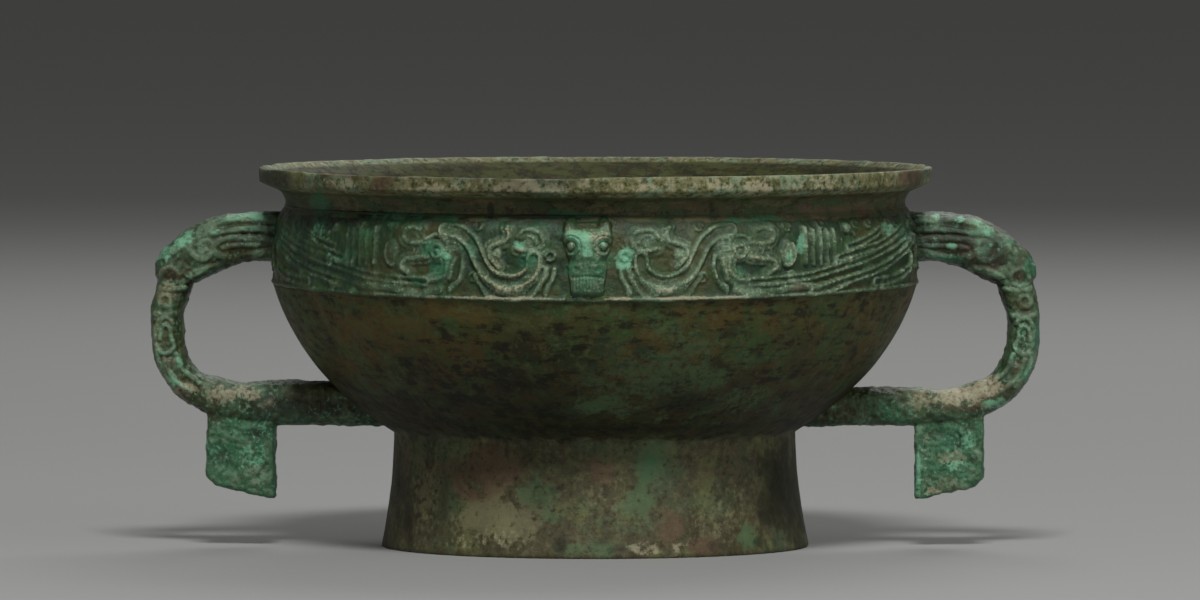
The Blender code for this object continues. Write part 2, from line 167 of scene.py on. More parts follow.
FEATHERS = [[(4.4, 0.35), (4.8, 0.21), (6.0, 0.08)], [(5.7, 0.36), (6.0, 0.25), (7.1, 0.13)]]
COMB = [[(22.5, share), (24.2, share)] for share in (0.58, 0.63, 0.68, 0.73)]
BROW = [(24.0, 0.67), (24.8, 0.75), (26.6, 0.78), (28.2, 0.72)]
UPPER_BEAK = [(28.2, 0.67), (30.6, 0.67), (32.5, 0.69), (33.3, 0.79), (31.8, 0.87), (29.8, 0.85)]
LOWER_BEAK = [(27.8, 0.49), (30.2, 0.47), (32.5, 0.45), (33.3, 0.35), (31.8, 0.27)]
CHEST = [(24.2, 0.48), (24.0, 0.35), (25.0, 0.22), (27.6, 0.18)]
LEGS = [[(21.2, 0.51), (21.0, 0.35), (21.7, 0.18), (23.5, 0.10)], [(22.5, 0.47), (23.1, 0.35), (23.5, 0.21)]]
WING_BARS = [[(turn, 0.37), (turn, 0.82)] for turn in (41.8, 43.5, 45.2, 47.0)]
WING_EDGE = [(39.8, 0.85), (39.8, 0.40)]
BELLY_LINE = [(25.0, 0.10), (28.6, 0.07), (33.1, 0.08), (37.4, 0.11), (41.1, 0.11)]
TAILS = [
    [(28.2, 0.17), (32.7, 0.18), (37.0, 0.20), (41.1, 0.23), (45.5, 0.29), (50.5, 0.36), (55.8, 0.42),
     (61.6, 0.51), (67.7, 0.60), (73.0, 0.71)],
    [(41.1, 0.05), (44.5, 0.08), (49.1, 0.14), (54.8, 0.21), (60.8, 0.28), (66.8, 0.39), (73.0, 0.52),
     (78.0, 0.63)],
    [(48.0, 0.44), (51.9, 0.50), (56.1, 0.54), (61.6, 0.60), (67.3, 0.71), (71.8, 0.80)],
    [(50.7, 0.58), (54.2, 0.63), (58.0, 0.70), (61.6, 0.79)],
    [(58.7, 0.11), (63.9, 0.12), (69.2, 0.16), (74.3, 0.24)],
]
SIDE_HOOKS = [[(74.9, 0.61), (75.6, 0.40), (74.3, 0.21)], [(79.8, 0.65), (81.4, 0.46), (78.8, 0.25)]]
EYE = (26.0, 0.57)
LEAF = (35.7, 0.54)
CHEEK_PAD = [EYE, (23.0, 0.60)]
WING_PAD = [(42.0, 0.60), (47.0, 0.60)]
BOSSES = [(9.1, 0.68), (14.7, 0.54), (66.4, 0.78), (50.7, 0.83)]
FILLERS = [(5.2, 0.52), (18.6, 0.90), (19.0, 0.24), (28.8, 0.58), (30.8, 0.92), (36.2, 0.88), (36.4, 0.24),
           (31.5, 0.57), (53.5, 0.88), (57.6, 0.88), (62.0, 0.92), (70.8, 0.91), (75.6, 0.82), (52.0, 0.72),
           (65.0, 0.88), (79.5, 0.86), (84.0, 0.78), (84.4, 0.50), (84.2, 0.24), (44.0, 0.90)]

# The creature's strokes: kind, lines, widths in millimetres, share of the relief's height
STROKES = [
    ("plateau", [CURL, HOOK, UPPER_BEAK, LOWER_BEAK, CHEST], [2.7], 0.4),
    ("plateau", TAILS, [2.3], 0.3),
    ("plateau", [CHEEK_PAD], [4.4], 0.5),
    ("plateau", [WING_PAD], [5.6], 0.35),
    ("ribbon", [CREST], [1.9, 1.0], 1.1),
    ("ribbon", [OUTER_CREST], [0.95, 0.65], 0.7),
    ("ribbon", TAILS, [1.0, 0.7], 0.9),
    ("ridge", [CURL, HOOK, UPPER_BEAK, LOWER_BEAK, WING_EDGE], [1.3], 1.0),
    ("ridge", [CURL_INNER, BROW, CHEST, BELLY_LINE] + LEGS + FEATHERS + SIDE_HOOKS, [1.1], 0.85),
    ("ridge", COMB, [0.6], 0.8),
    ("ridge", WING_BARS, [1.0], 0.8),
]

# The middle head from chin to forehead, in millimetres: height over the band's foot, half width, proud height
HEAD_PROFILE = [(-1.5, 4.8, -1.2), (0.0, 5.2, 0.2), (1.4, 5.6, 1.9), (4.0, 5.8, 2.8), (7.0, 6.4, 3.0),
                (10.0, 6.4, 3.3), (12.5, 6.4, 3.7), (15.0, 7.4, 4.2), (17.5, 7.9, 4.2), (19.8, 7.8, 3.7),
                (21.8, 7.6, 3.0), (23.2, 7.3, 1.9), (24.1, 7.0, -0.8), (26.0, 6.4, -3.6)]
# Places on the middle head, aside from its middle line and up, in millimetres
HEAD_EYE = (5.2, 16.0)
HEAD_HORN = (6.2, 21.2)
HEAD_CHEEK = (1.8, 11.0)
HEAD_HOLLOW = (5.4, 11.4)
HEAD_CURL = (3.4, 8.6)
HEAD_MOUTH = 6.4
HEAD_TEETH = 3.9
TEETH_PITCH = 1.05
BROW_DIP = 2.6

# Handle carving, seen from the side: out along X and up, in millimetres
HORN = [(104.8, 100.2), (115.9, 100.9), (121.7, 100.2), (124.4, 97.6), (121.7, 94.7), (115.9, 94.3),
        (104.8, 97.0)]
HORN_RIB = [(104.8, 98.6), (116.0, 98.4), (121.4, 97.5)]
BROW_CURL = [(104.8, 104.0), (115.9, 103.5), (120.8, 102.8), (126.3, 102.2), (130.6, 100.5), (132.2, 97.9),
             (130.6, 95.0), (127.3, 94.0), (124.7, 96.0), (125.0, 98.6), (127.3, 99.9), (129.2, 98.6)]
TOP_RIB = [(104.8, 106.6), (116.0, 107.2), (122.0, 106.0), (128.0, 103.6), (133.0, 100.6), (137.5, 96.6)]
JAW = [(121.0, 91.6), (127.5, 90.4), (132.0, 88.4), (135.0, 85.6)]
BROW_EYE = (127.6, 96.8)
GROOVES = [[(105.0, 92.4), (117.0, 91.4), (124.5, 92.3)], [(105.0, 105.2), (117.0, 105.4), (124.0, 104.3)],
           [(105.0, 102.2), (116.0, 102.2), (121.0, 101.6)], [(132.5, 92.0), (135.5, 93.5), (137.0, 91.5)]]
SNOUT_CURL = (138.6, 88.2)
BIRD_EYE = (140.3, 80.3)
COLLARS = [[(133.6, 84.6), (139.0, 84.0), (144.6, 84.9)], [(134.2, 76.2), (139.5, 75.4), (145.0, 76.4)]]
WING = (140.0, 68.9)
PLUMES = [[(136.5, 63.0), (134.0, 57.5), (129.0, 53.5)], [(140.5, 61.5), (137.5, 55.0), (131.5, 50.5)],
          [(143.0, 64.5), (141.5, 58.0), (137.0, 52.5)]]
# Its ridges: line, half width and height in millimetres
HANDLE_RIDGES = [(TOP_RIB, 2.2, 0.7), (HORN, 1.7, 0.8), (HORN_RIB, 1.2, 0.6), (BROW_CURL, 1.7, 0.9),
                 (JAW, 1.6, 0.7)]

# Patches of patina on the front, with some painted shade and a painted glint among them, in millimetres:
# across along X, height, half width, half height, strength
MALACHITE_PATCHES = [
    (-88, 113, 3, 8, 0.6), (-44, 111, 14, 2, 0.4), (-4, 112, 8, 2, 0.6),
    (-78, 98, 7, 6, 0.4), (-73, 104, 5, 4, 0.5), (-54, 90, 3, 2, 0.6), (-50, 101, 4, 3, 0.9),
    (-47, 95, 3, 5, 0.8), (-37, 101, 3, 4, 0.5), (-19, 97, 3, 3, 1.0), (0, 98, 7, 10, 0.8),
    (48, 94, 3, 4, 0.5), (86, 95, 7, 3, 0.4), (-58, 110, 24, 2.5, 0.6), (-20, 109, 16, 2, 0.5),
    (54, 110, 14, 1.5, 0.5), (19, 30, 3, 7, 0.4), (2, 49, 7, 1.5, 0.35),
    (-139, 98, 7, 5, 0.4), (-99, 102, 5, 7, 0.5), (-127, 57, 7, 3, 0.5), (-117, 33, 9, 13, 0.5),
    (101, 101, 4, 7, 0.5), (113, 94, 7, 2, 0.6), (142, 91, 3, 3, 0.8), (144, 69, 2, 8, 0.9),
    (141, 56, 3, 5, 0.8), (96, 45, 7, 5, 0.7), (115, 31, 10, 14, 0.4)]
MINT_PATCHES = [
    (-46, 99, 2, 2, 0.7), (-22, 102, 2, 1.5, 0.7), (-1.5, 105, 4.2, 3, 1.0), (0, 101.5, 2, 3, 0.9),
    (5, 103, 2, 1.5, 0.7), (12, 98, 2.5, 3, 1.0), (64, 98, 1.5, 2.5, 0.55), (68, 102, 1.5, 4.5, 0.6),
    (95, 105, 3, 2.5, 0.55), (-141, 96, 3, 2.5, 0.6), (-134, 100, 2.5, 2.5, 0.8), (-113, 109, 5, 1.5, 0.9),
    # the small mint spot at (111, 107.5) is a painted glint on the right limb's top
    (-113, 30, 5, 8, 0.4), (111, 107.5, 2, 1, 0.9), (116, 98.5, 2, 1.2, 0.9), (128, 103, 3, 1.5, 0.6),
    (119, 107, 2, 1, 0.6), (140, 70, 1.5, 2.5, 1.0), (132, 47, 4.5, 1.5, 0.6), (122, 35, 2, 4, 0.6),
    (105, 24, 1.5, 8, 0.7), (118, 27, 5, 2, 0.6), (-88, 104, 4, 3, 0.35), (-83, 97, 3, 4, 0.35)]
RUST_PATCHES = [
    (-78, 124, 10, 1.5, 0.7), (-66, 121, 4, 3, 0.9), (102, 121, 4, 3, 0.9), (-35, 115, 13, 2, 0.4),
    (33, 115, 13, 2, 0.4), (-28, 97, 6, 2, 0.4), (17, 104, 8, 4, 0.3), (66, 88, 4.5, 2, 0.6),
    (80, 112, 14, 2, 0.6), (7, 68, 4.5, 2.5, 0.4), (-34, 28, 13, 8, 0.7), (-38, 20, 8, 3, 0.7),
    (27, 10, 5, 8, 0.7), (46, 29, 10, 6, 0.4), (3, 28, 5, 7, 0.6), (-60, 30, 6, 6, 0.4), (36, 3, 5, 3, 0.7),
    (-139, 89, 3, 3, 1.0), (-139, 60, 2.5, 3.5, 0.6), (113, 101, 7, 2, 0.7),
    (124, 96, 4.5, 4, 0.6), (130, 93, 4, 7, 0.5), (139, 89, 2.5, 2.5, 0.8), (139, 59, 3, 3, 0.7),
    (121, 98, 7, 5, 0.7),
    (134, 52, 4.5, 2.5, 0.6), (119, 46, 8.5, 1.5, 0.6)]
CREAM_PATCHES = [
    (-79, 121, 8.5, 2.5, 0.4), (-44, 121, 13, 2.5, 0.4), (-22, 121, 9, 2.5, 0.65), (-9, 121, 9, 2, 0.45),
    (17, 121, 11, 1.5, 0.45), (42, 121, 9, 2, 0.5), (54, 121, 5, 2.5, 0.6), (72, 121, 12, 2.5, 0.4),
    (-27, 85.3, 18, 0.6, 0.7), (30, 85.3, 26, 0.6, 0.75), (-34, 5, 14, 4, 0.4), (17, 3, 7, 2.5, 0.45),
    (28, 3, 3, 3, 0.5),
    (-132, 51, 7, 2.5, 0.5), (-118, 50, 9, 3, 0.65), (-107, 48, 7, 3, 0.3), (108, 50, 6, 2.5, 0.4),
    (117, 50, 7, 3, 0.95), (128, 53, 4.5, 3, 0.9), (108, 33, 3, 8, 0.4), (116, 29, 7, 3, 0.6),
    (110, 18, 5, 2, 0.5)]
# Dark patina spots, with painted shade among them: the painted shadow under the belly along the foot's top at
# (3, 41), shade under the right limb near (120, 93), and the foot ring's turning sides at (-65, 23), (60, 20)
# and (68, 22), which are partly dark patina, partly painted shade
DARK_AND_SHADE_PATCHES = [
    (-31, 112, 1, 2.5, 0.9), (21, 112, 19, 2, 0.3), (-9, 97, 2.5, 4.5, 0.4), (87, 95, 9, 2, 0.3),
    (-9, 68, 23, 9, 0.55), (-22, 59, 17, 6, 0.6), (16, 70, 7, 5, 0.5), (-53, 60, 13, 6, 0.45),
    (48, 74, 5, 4, 0.5), (32, 51, 12, 4, 0.6), (3, 41, 61, 2.5, 0.6), (-65, 23, 4, 19, 0.5),
    (60, 20, 7, 19, 0.9), (-103, 45, 9, 2.5, 0.5), (127, 88, 6, 3, 0.7), (116, 101, 9, 2, 0.8),
    (120, 93, 8, 2.5, 0.6), (-111, 37, 3, 1.5, 1.0), (112, 42, 9, 2, 0.5), (134, 62, 4, 6, 0.5),
    (133, 97, 4, 3, 0.5), (-48, 15, 3, 12, 0.5), (-60, 10, 2, 10, 0.6), (5, 8, 3, 4, 0.5),
    (-10, 5, 3, 4, 0.7), (9, 3, 4, 2, 0.6), (-30, 3, 5, 2, 0.5), (40, 3, 4, 2, 0.5),
    (68, 22, 8, 20, 0.8), (115, 36, 10, 4, 0.4), (112, 19, 6, 3, 0.4),
    (-102, 121, 9, 4, 0.8), (-86, 121, 9, 3, 0.5), (105, 121, 4, 4, 0.5), (-6, 28, 6, 4, 0.5),
    (116, 101, 15, 9, 0.9), (130, 98, 8, 8, 0.8), (-113, 101, 12, 7, 0.5), (-100, 46, 16, 5, 0.7),
    (137, 92, 4, 6, 0.4), (-60, 48, 16, 5, 0.5),
    (-36, 52, 12, 4, 0.6), (-10, 48, 9, 3, 0.6)]
PALE_PATCHES = [
    (-30, 13, 19, 10, 0.75), (3, 20, 12, 10, 0.35), (42, 14, 12, 12, 0.35), (-52, 18, 8, 12, 0.5),
    (-97, 50, 14, 3.5, 0.5), (106, 49, 5, 4, 0.6), (114, 21, 8, 4, 0.5), (-140, 84, 4, 6, 0.7),
    (-143, 72, 3, 8, 0.5)]
LICHEN_PATCHES = [
    (22, 62, 32, 18, 0.5), (45, 50, 22, 10, 0.4), (2, 50, 14, 4, 0.6), (-5, 82, 40, 3, 0.4),
    (19, 30, 5, 10, 0.8), (16, 20, 6, 6, 0.7), (-18, 20, 8, 5, 0.7), (8, 12, 16, 6, 0.4),
    (1, 3, 14, 3, 0.6), (50, 6, 3, 4, 0.9), (-12, 13, 6, 4, 0.6)]
OCHRE_PATCHES = [
    (-70, 74, 18, 8, 0.6), (-45, 80, 18, 4, 0.6), (58, 76, 16, 5, 0.4), (-15, 72, 5, 3, 0.4),
    (28, 82, 10, 2, 0.4), (-78, 64, 8, 8, 0.4), (74, 62, 8, 8, 0.3)]


def fade(value, start, stop):
    """1 up to the start, 0 beyond the stop, eased between."""
    share = np.clip((value - start) / (stop - start), 0, 1)
    return 1 - share * share * (3 - 2 * share)


def lumps(points, size, seed):
    """Smooth chance values from -1 to 1 over points in space, in lumps of about the given size."""
    cells = 32
    table = np.random.default_rng(seed).uniform(-1, 1, (cells, cells, cells))
    cell = points / size + 7.3
    low = np.floor(cell).astype(int)
    part = cell - low
    ease = part * part * (3 - 2 * part)
    total = np.zeros(len(points))
    for corner in np.ndindex(2, 2, 2):
        weight = np.where(np.array(corner) == 1, ease, 1 - ease).prod(axis=1)
        spot = (low + corner) % cells
        total += weight * table[spot[:, 0], spot[:, 1], spot[:, 2]]
    return total


def wear(points, layers, first_seed=0):
    """Chance heights, summed over layers of amount, size of the lumps and seed."""
    return sum(amount * lumps(points, size, first_seed + seed) for amount, size, seed in layers)


def grains(points, size, seed, floor):
    """Scattered spots: the chance values that rise over a floor, and 0 between them."""
    return np.clip(lumps(points, size, seed) - floor, 0, 1)


def smooth_line(points, step):
    """Points about a step apart along the smooth curve through the given ones."""
    spots = np.array(points, float)
    chain = np.vstack([2 * spots[0] - spots[1], spots, 2 * spots[-1] - spots[-2]])
    fine = [spots[0]]
    t = np.linspace(0, 1, 13)[1:, None]
    for before, start, stop, after in zip(chain, chain[1:], chain[2:], chain[3:]):
        bend = 2 * start + (stop - before) * t
        bend = bend + (2 * before - 5 * start + 4 * stop - after) * t ** 2
        bend = bend + (3 * start - before - 3 * stop + after) * t ** 3
        fine.extend(0.5 * bend)
    fine = np.array(fine)
    runs = np.linalg.norm(np.diff(fine, axis=0), axis=1)
    reach = np.concatenate([[0.0], np.cumsum(runs)])
    marks = np.linspace(0, reach[-1], max(round(reach[-1] / step), 1) + 1)
    return np.column_stack([np.interp(marks, reach, axis) for axis in fine.T])


def gap_to(spots, line):
    """How far each spot lies from the nearest stretch of a line."""
    gap = np.full(len(spots), 1.0)
    for start, stop in zip(line, line[1:]):
        along = stop - start
        share = np.clip((spots - start) @ along / (along @ along), 0, 1)
        gap = np.minimum(gap, np.linalg.norm(spots - start - share[:, None] * along, axis=1))
    return gap


def oval(centre, radii, first, last, count):
    """Points along an oval arc, from the first to the last angle in degrees."""
    angles = np.radians(np.linspace(first, last, count))
    return [(centre[0] + radii[0] * math.cos(a), centre[1] + radii[1] * math.sin(a)) for a in angles]


class Relief:
    """Heights raised and cut over a flat ground, stroke by stroke, in metres."""

    def __init__(self, spots):
        self.spots = spots
        self.height = np.zeros(len(spots))

    def ridge(self, line, half_width, proud):
        rise = proud * fade(gap_to(self.spots, line) / half_width, 0.25, 1.0)
        self.height = np.maximum(self.height, rise)

    def ribbon(self, line, spread, half_width, proud):
        """Two ridges side by side with a shallow channel between them."""
        gap = gap_to(self.spots, line)
        channel = 0.3 * proud * fade(gap / (spread + half_width), 0.7, 1.0)
        edges = proud * fade(np.abs(gap - spread) / half_width, 0.25, 1.0)
        self.height = np.maximum(self.height, np.maximum(channel, edges))

    def plateau(self, line, half_width, proud):
        rise = proud * fade(gap_to(self.spots, line) / half_width, 0.75, 1.0)
        self.height = np.maximum(self.height, rise)

    def groove(self, line, half_width, depth):
        self.height = self.height - depth * fade(gap_to(self.spots, line) / half_width, 0.2, 1.0)

    def boss(self, centre, radii, proud):
        offset = (self.spots - centre) / np.array(radii)
        rise = proud * np.sqrt(np.clip(1 - (offset ** 2).sum(axis=1), 0, 1))
        self.height = np.maximum(self.height, rise)

    def pit(self, centre, radii, depth):
        offset = (self.spots - centre) / np.array(radii)
        self.height = self.height - depth * fade((offset ** 2).sum(axis=1), 0.3, 1.0)


def triples(rows, name):
    values = np.empty(len(rows) * 3)
    rows.foreach_get(name, values)
    return values.reshape(-1, 3)


def points_of(piece):
    return triples(piece.data.vertices, "co")


def normals_of(piece):
    return triples(piece.data.vertex_normals, "vector")


def stain(piece):
    """Marks the patches of patina, with some painted shade and a painted glint, on the piece's front; the
    back keeps the finish's own mottling.
    """
    points = points_of(piece)
    front = (1 - fade(-normals_of(piece)[:, 1], -0.6, -0.2)) * fade(points[:, 1], -1 * MM, 3 * MM)
    ragged = wear(points, PATCH_EDGE)
    for kind, (patches, _) in PATCHES.items():
        total = np.zeros(len(points))
        for across, height, half_width, half_height, strength in patches:
            aside = (points[:, 0] / MM - across) / half_width
            above = (points[:, 2] / MM - height) / half_height
            gap = np.hypot(aside, above)
            total = np.maximum(total, strength * fade(gap + ragged, 0.2, 1.7))
        mark(piece, kind, total * front)


def place_points(piece, points):
    piece.data.vertices.foreach_set("co", points.ravel())
    piece.data.update()


def mark(piece, name, values):
    """Keeps a value for each point of the piece, for its finish to read."""
    layer = piece.data.attributes.new(name, "FLOAT", "POINT")
    layer.data.foreach_set("value", np.asarray(values, np.float32))


def put_in(name, data):
    """A new object with the data, linked into the scene."""
    thing = bpy.data.objects.new(name, data)
    bpy.context.collection.objects.link(thing)
    return thing


def add_piece(name, verts, faces):
    data = bpy.data.meshes.new(name)
    data.from_pydata(verts, [], faces)
    data.validate()
    data.shade_smooth()
    return put_in(name, data)


def stand_for_vessel(piece, finish):
    stain(piece)
    piece.data.materials.clear()
    piece.data.materials.append(finish)
    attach(piece, "root")
    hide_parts("gui_vessel")


def bridge(lower, lower_count, upper, upper_count):
    """Faces between two rings of equal count, or where one has twice the other's points."""
    if lower_count == upper_count:
        here = np.arange(lower_count)
        after = (here + 1) % lower_count
        return np.column_stack([lower + here, lower + after, upper + after, upper + here]).tolist()
    few = min(lower_count, upper_count)
    here = np.arange(few)
    after = (here + 1) % few
    middle = 2 * here + 1
    last = (2 * here + 2) % (2 * few)
    if lower_count > upper_count:
        corners = [(lower + 2 * here, lower + middle, upper + here),
                   (lower + middle, upper + after, upper + here),
                   (lower + middle, lower + last, upper + after)]
    else:
        corners = [(lower + here, upper + middle, upper + 2 * here),
                   (lower + here, lower + after, upper + middle),
                   (lower + after, upper + last, upper + middle)]
    return np.stack([np.column_stack(trio) for trio in corners], axis=1).reshape(-1, 3).tolist()


def turned_skin(name, rings):
    """A closed skin over rings of (radius, height, count); the first and the last close on the axis."""
    verts = [(0.0, 0.0, rings[0][1])]
    faces = []
    starts = []
    for radius, height, count in rings:
        starts.append(len(verts))
        angles = np.arange(count) * math.tau / count
        ring = np.column_stack([radius * np.cos(angles), radius * np.sin(angles), np.full(count, height)])
        verts.extend(ring.tolist())
    first = rings[0][2]
    for index in range(first):
        faces.append((0, starts[0] + index, starts[0] + (index + 1) % first)[::-1])
    for index in range(len(rings) - 1):
        faces += bridge(starts[index], rings[index][2], starts[index + 1], rings[index + 1][2])
    tip = len(verts)
    verts.append((0.0, 0.0, rings[-1][1]))
    last = rings[-1][2]
    for index in range(last):
        faces.append((tip, starts[-1] + index, starts[-1] + (index + 1) % last))
    return add_piece(name, verts, faces)


def band_radius(height):
    share = (height - BAND_FOOT) / BAND_DEPTH
    return BAND_FOOT_RADIUS + (BAND_TOP_RADIUS - BAND_FOOT_RADIUS) * share


def belly_line(inset):
    """The belly from the foot's top up to the band, moved in by a wall's thickness."""
    start = np.array([FOOT_TOP_RADIUS, FOOT_HEIGHT])
    end = np.array([BAND_FOOT_RADIUS, BAND_FOOT])
    pull = start + np.array([BELLY_PULL_OUT, BELLY_PULL_UP]) * (end - start)
    t = np.linspace(0, 1, 9)[:, None]
    curve = (1 - t) ** 2 * start + 2 * t * (1 - t) * pull + t * t * end
    along = np.gradient(curve, axis=0)
    along /= np.linalg.norm(along, axis=1)[:, None]
    return curve + inset * np.column_stack([-along[:, 1], along[:, 0]])


def foot_line(inset):
    """The foot ring's flaring side from bottom to top."""
    t = np.linspace(0, 1, 7)
    radius = FOOT_BASE_RADIUS + (FOOT_TOP_RADIUS - FOOT_BASE_RADIUS) * t - FOOT_HOLLOW * np.sin(np.pi * t)
    return np.column_stack([radius - inset, FOOT_HEIGHT * t])


def base_line(edge, sag):
    """The bowl's rounded base, from near the axis out to the edge point."""
    share = np.linspace(0.02, 1, 9)
    return np.column_stack([edge[0] * share, edge[1] - sag * (1 - share ** BASE_POWER)])


def vessel_rings():
    """The whole outline of the bowl and foot, from under the base round to inside it."""
    rings = []

    def run(points, step, columns):
        for radius, height in smooth_line(points, step):
            rings.append((radius, height, columns))

    inner_foot = foot_line(FOOT_WALL)
    ceiling = base_line((inner_foot[-1][0] - 1.0 * MM, FOOT_HEIGHT - 0.3 * FOOT_WALL), BOWL_SAG)
    run(ceiling[:4], 2 * INNER_STEP, OUTER_COLUMNS // 8)
    run(ceiling[4:], INNER_STEP, OUTER_COLUMNS // 4)
    run(inner_foot[::-1][1:], INNER_STEP, OUTER_COLUMNS // 2)
    underside = [(FOOT_BASE_RADIUS - FOOT_WALL + 0.5 * MM, 0.0), (FOOT_BASE_RADIUS - 0.5 * MM, 0.0)]
    run(underside, OUTER_STEP, OUTER_COLUMNS)
    outer_foot = foot_line(0.0)
    outer_foot[0][1] = 0.5 * MM
    run(outer_foot, OUTER_STEP, OUTER_COLUMNS)
    run(belly_line(0.0)[1:], OUTER_STEP, OUTER_COLUMNS)
    recess_foot = (BAND_FOOT_RADIUS - BAND_RECESS, BAND_FOOT + 0.8 * MM)
    recess_top = (BAND_TOP_RADIUS - BAND_RECESS, BAND_TOP - 0.4 * MM)
    run([recess_foot, recess_top], 8 * MM, OUTER_COLUMNS)
    flare = RIM_RADIUS - NECK_RADIUS
    neck = [(NECK_RADIUS, BAND_TOP + 0.1 * NECK_HEIGHT),
            (NECK_RADIUS + 0.02 * flare, BAND_TOP + 0.4 * NECK_HEIGHT),
            (NECK_RADIUS + 0.2 * flare, BAND_TOP + 0.75 * NECK_HEIGHT),
            (NECK_RADIUS + 0.6 * flare, LIP_FOOT - 0.4 * MM),
            (RIM_RADIUS - 0.9 * MM, LIP_FOOT + LIP_UNDERCUT + 0.3 * MM)]
    run(neck, 0.9 * MM, OUTER_COLUMNS)
    lip = [(RIM_RADIUS - 0.3 * MM, LIP_FOOT + LIP_UNDERCUT + 0.6 * MM),
           (RIM_RADIUS - 0.1 * MM, LIP_FOOT + 0.5 * LIP_DEPTH),
           (RIM_RADIUS, RIM_HEIGHT - LIP_ROUND), (RIM_RADIUS - 0.3 * LIP_ROUND, RIM_HEIGHT - 0.3 * LIP_ROUND),
           (RIM_RADIUS - LIP_ROUND, RIM_HEIGHT)]
    run(lip, 0.75 * MM, OUTER_COLUMNS)
    mouth = RIM_RADIUS - LIP_LAND
    throat = NECK_RADIUS - WALL
    run([(mouth + 0.6 * MM, RIM_HEIGHT), (mouth - 0.6 * MM, RIM_HEIGHT - 0.6 * MM),
         (mouth - 4.2 * MM, RIM_HEIGHT - 3.5 * MM), (throat + 2.1 * MM, LIP_FOOT - 1.1 * MM),
         (throat, 0.5 * (BAND_TOP + LIP_FOOT))], OUTER_STEP, OUTER_COLUMNS)
    run([(throat + 0.5 * MM, BAND_TOP), (band_radius(BAND_FOOT + 0.6 * BAND_DEPTH) - WALL - 1.4 * MM,
                                         BAND_FOOT + 0.6 * BAND_DEPTH)], INNER_STEP, OUTER_COLUMNS // 2)
    inner = belly_line(WALL)
    inner[-1] = (BAND_FOOT_RADIUS - WALL, BAND_FOOT)
    run(inner[::-1], INNER_STEP, OUTER_COLUMNS // 2)
    base = base_line(inner[0], BOWL_SAG)[::-1]
    run(base[1:5], INNER_STEP, OUTER_COLUMNS // 4)
    run(base[5:], 2 * INNER_STEP, OUTER_COLUMNS // 8)
    return rings


def vessel():
    """Bowl, neck, lip and foot in one skin, uneven and pitted, with nicks along the lip's edge."""
    piece = turned_skin("vessel", vessel_rings())
    points = points_of(piece)
    normals = normals_of(piece)
    radius = np.hypot(points[:, 0], points[:, 1])
    height = points[:, 2]
    outside = (points[:, :2] * normals[:, :2]).sum(axis=1) > 0
    lip = 1 - fade(height, LIP_FOOT - 1 * MM, LIP_FOOT + 1 * MM)
    foot = fade(height, FOOT_HEIGHT - 2 * MM, FOOT_HEIGHT)
    push = wear(points, BODY_WEAR) + foot * (0.12 * lumps(points * (1, 1, 0.35), 7 * MM, 6))
    crust = grains(points, 6 * MM, 7, 0.25)
    push += lip * (0.35 * crust - 0.12) + (1 - lip) * 0.10 * crust
    push -= 0.5 * grains(points, 2.9 * MM, 8, 0.45) * (1 - 0.6 * lip)
    arris = fade(np.hypot(radius - RIM_RADIUS, height - RIM_HEIGHT), 0.6 * MM, 2.2 * MM)
    nicks = grains(points, 7.5 * MM, 9, 0.35) + 0.5 * grains(points, 2.6 * MM, 10, 0.3)
    push -= 0.9 * arris * nicks
    flat_foot = fade(height, 0.3 * MM, 1.5 * MM)
    push *= 1 - flat_foot
    points += normals * (push * MM)[:, None]
    sink = 0.3 * MM * lumps(points * (1, 1, 0), 60 * MM, 11)
    points[:, 2] -= np.clip(sink, 0, 1) * (1 - fade(height, BAND_TOP, RIM_HEIGHT))
    spread = np.hypot(points[:, 0], points[:, 1])
    points[:, :2] *= np.minimum(1, RIM_RADIUS / np.maximum(spread, 1e-6))[:, None]
    points[:, 2] = np.clip(points[:, 2], 0, RIM_HEIGHT)
    place_points(piece, points)
    mark(piece, "relief", push)
    mark(piece, "inside", np.where(outside | (radius > RIM_RADIUS - LIP_LAND - 1.5 * MM), 0.0, 1.0))
    return piece


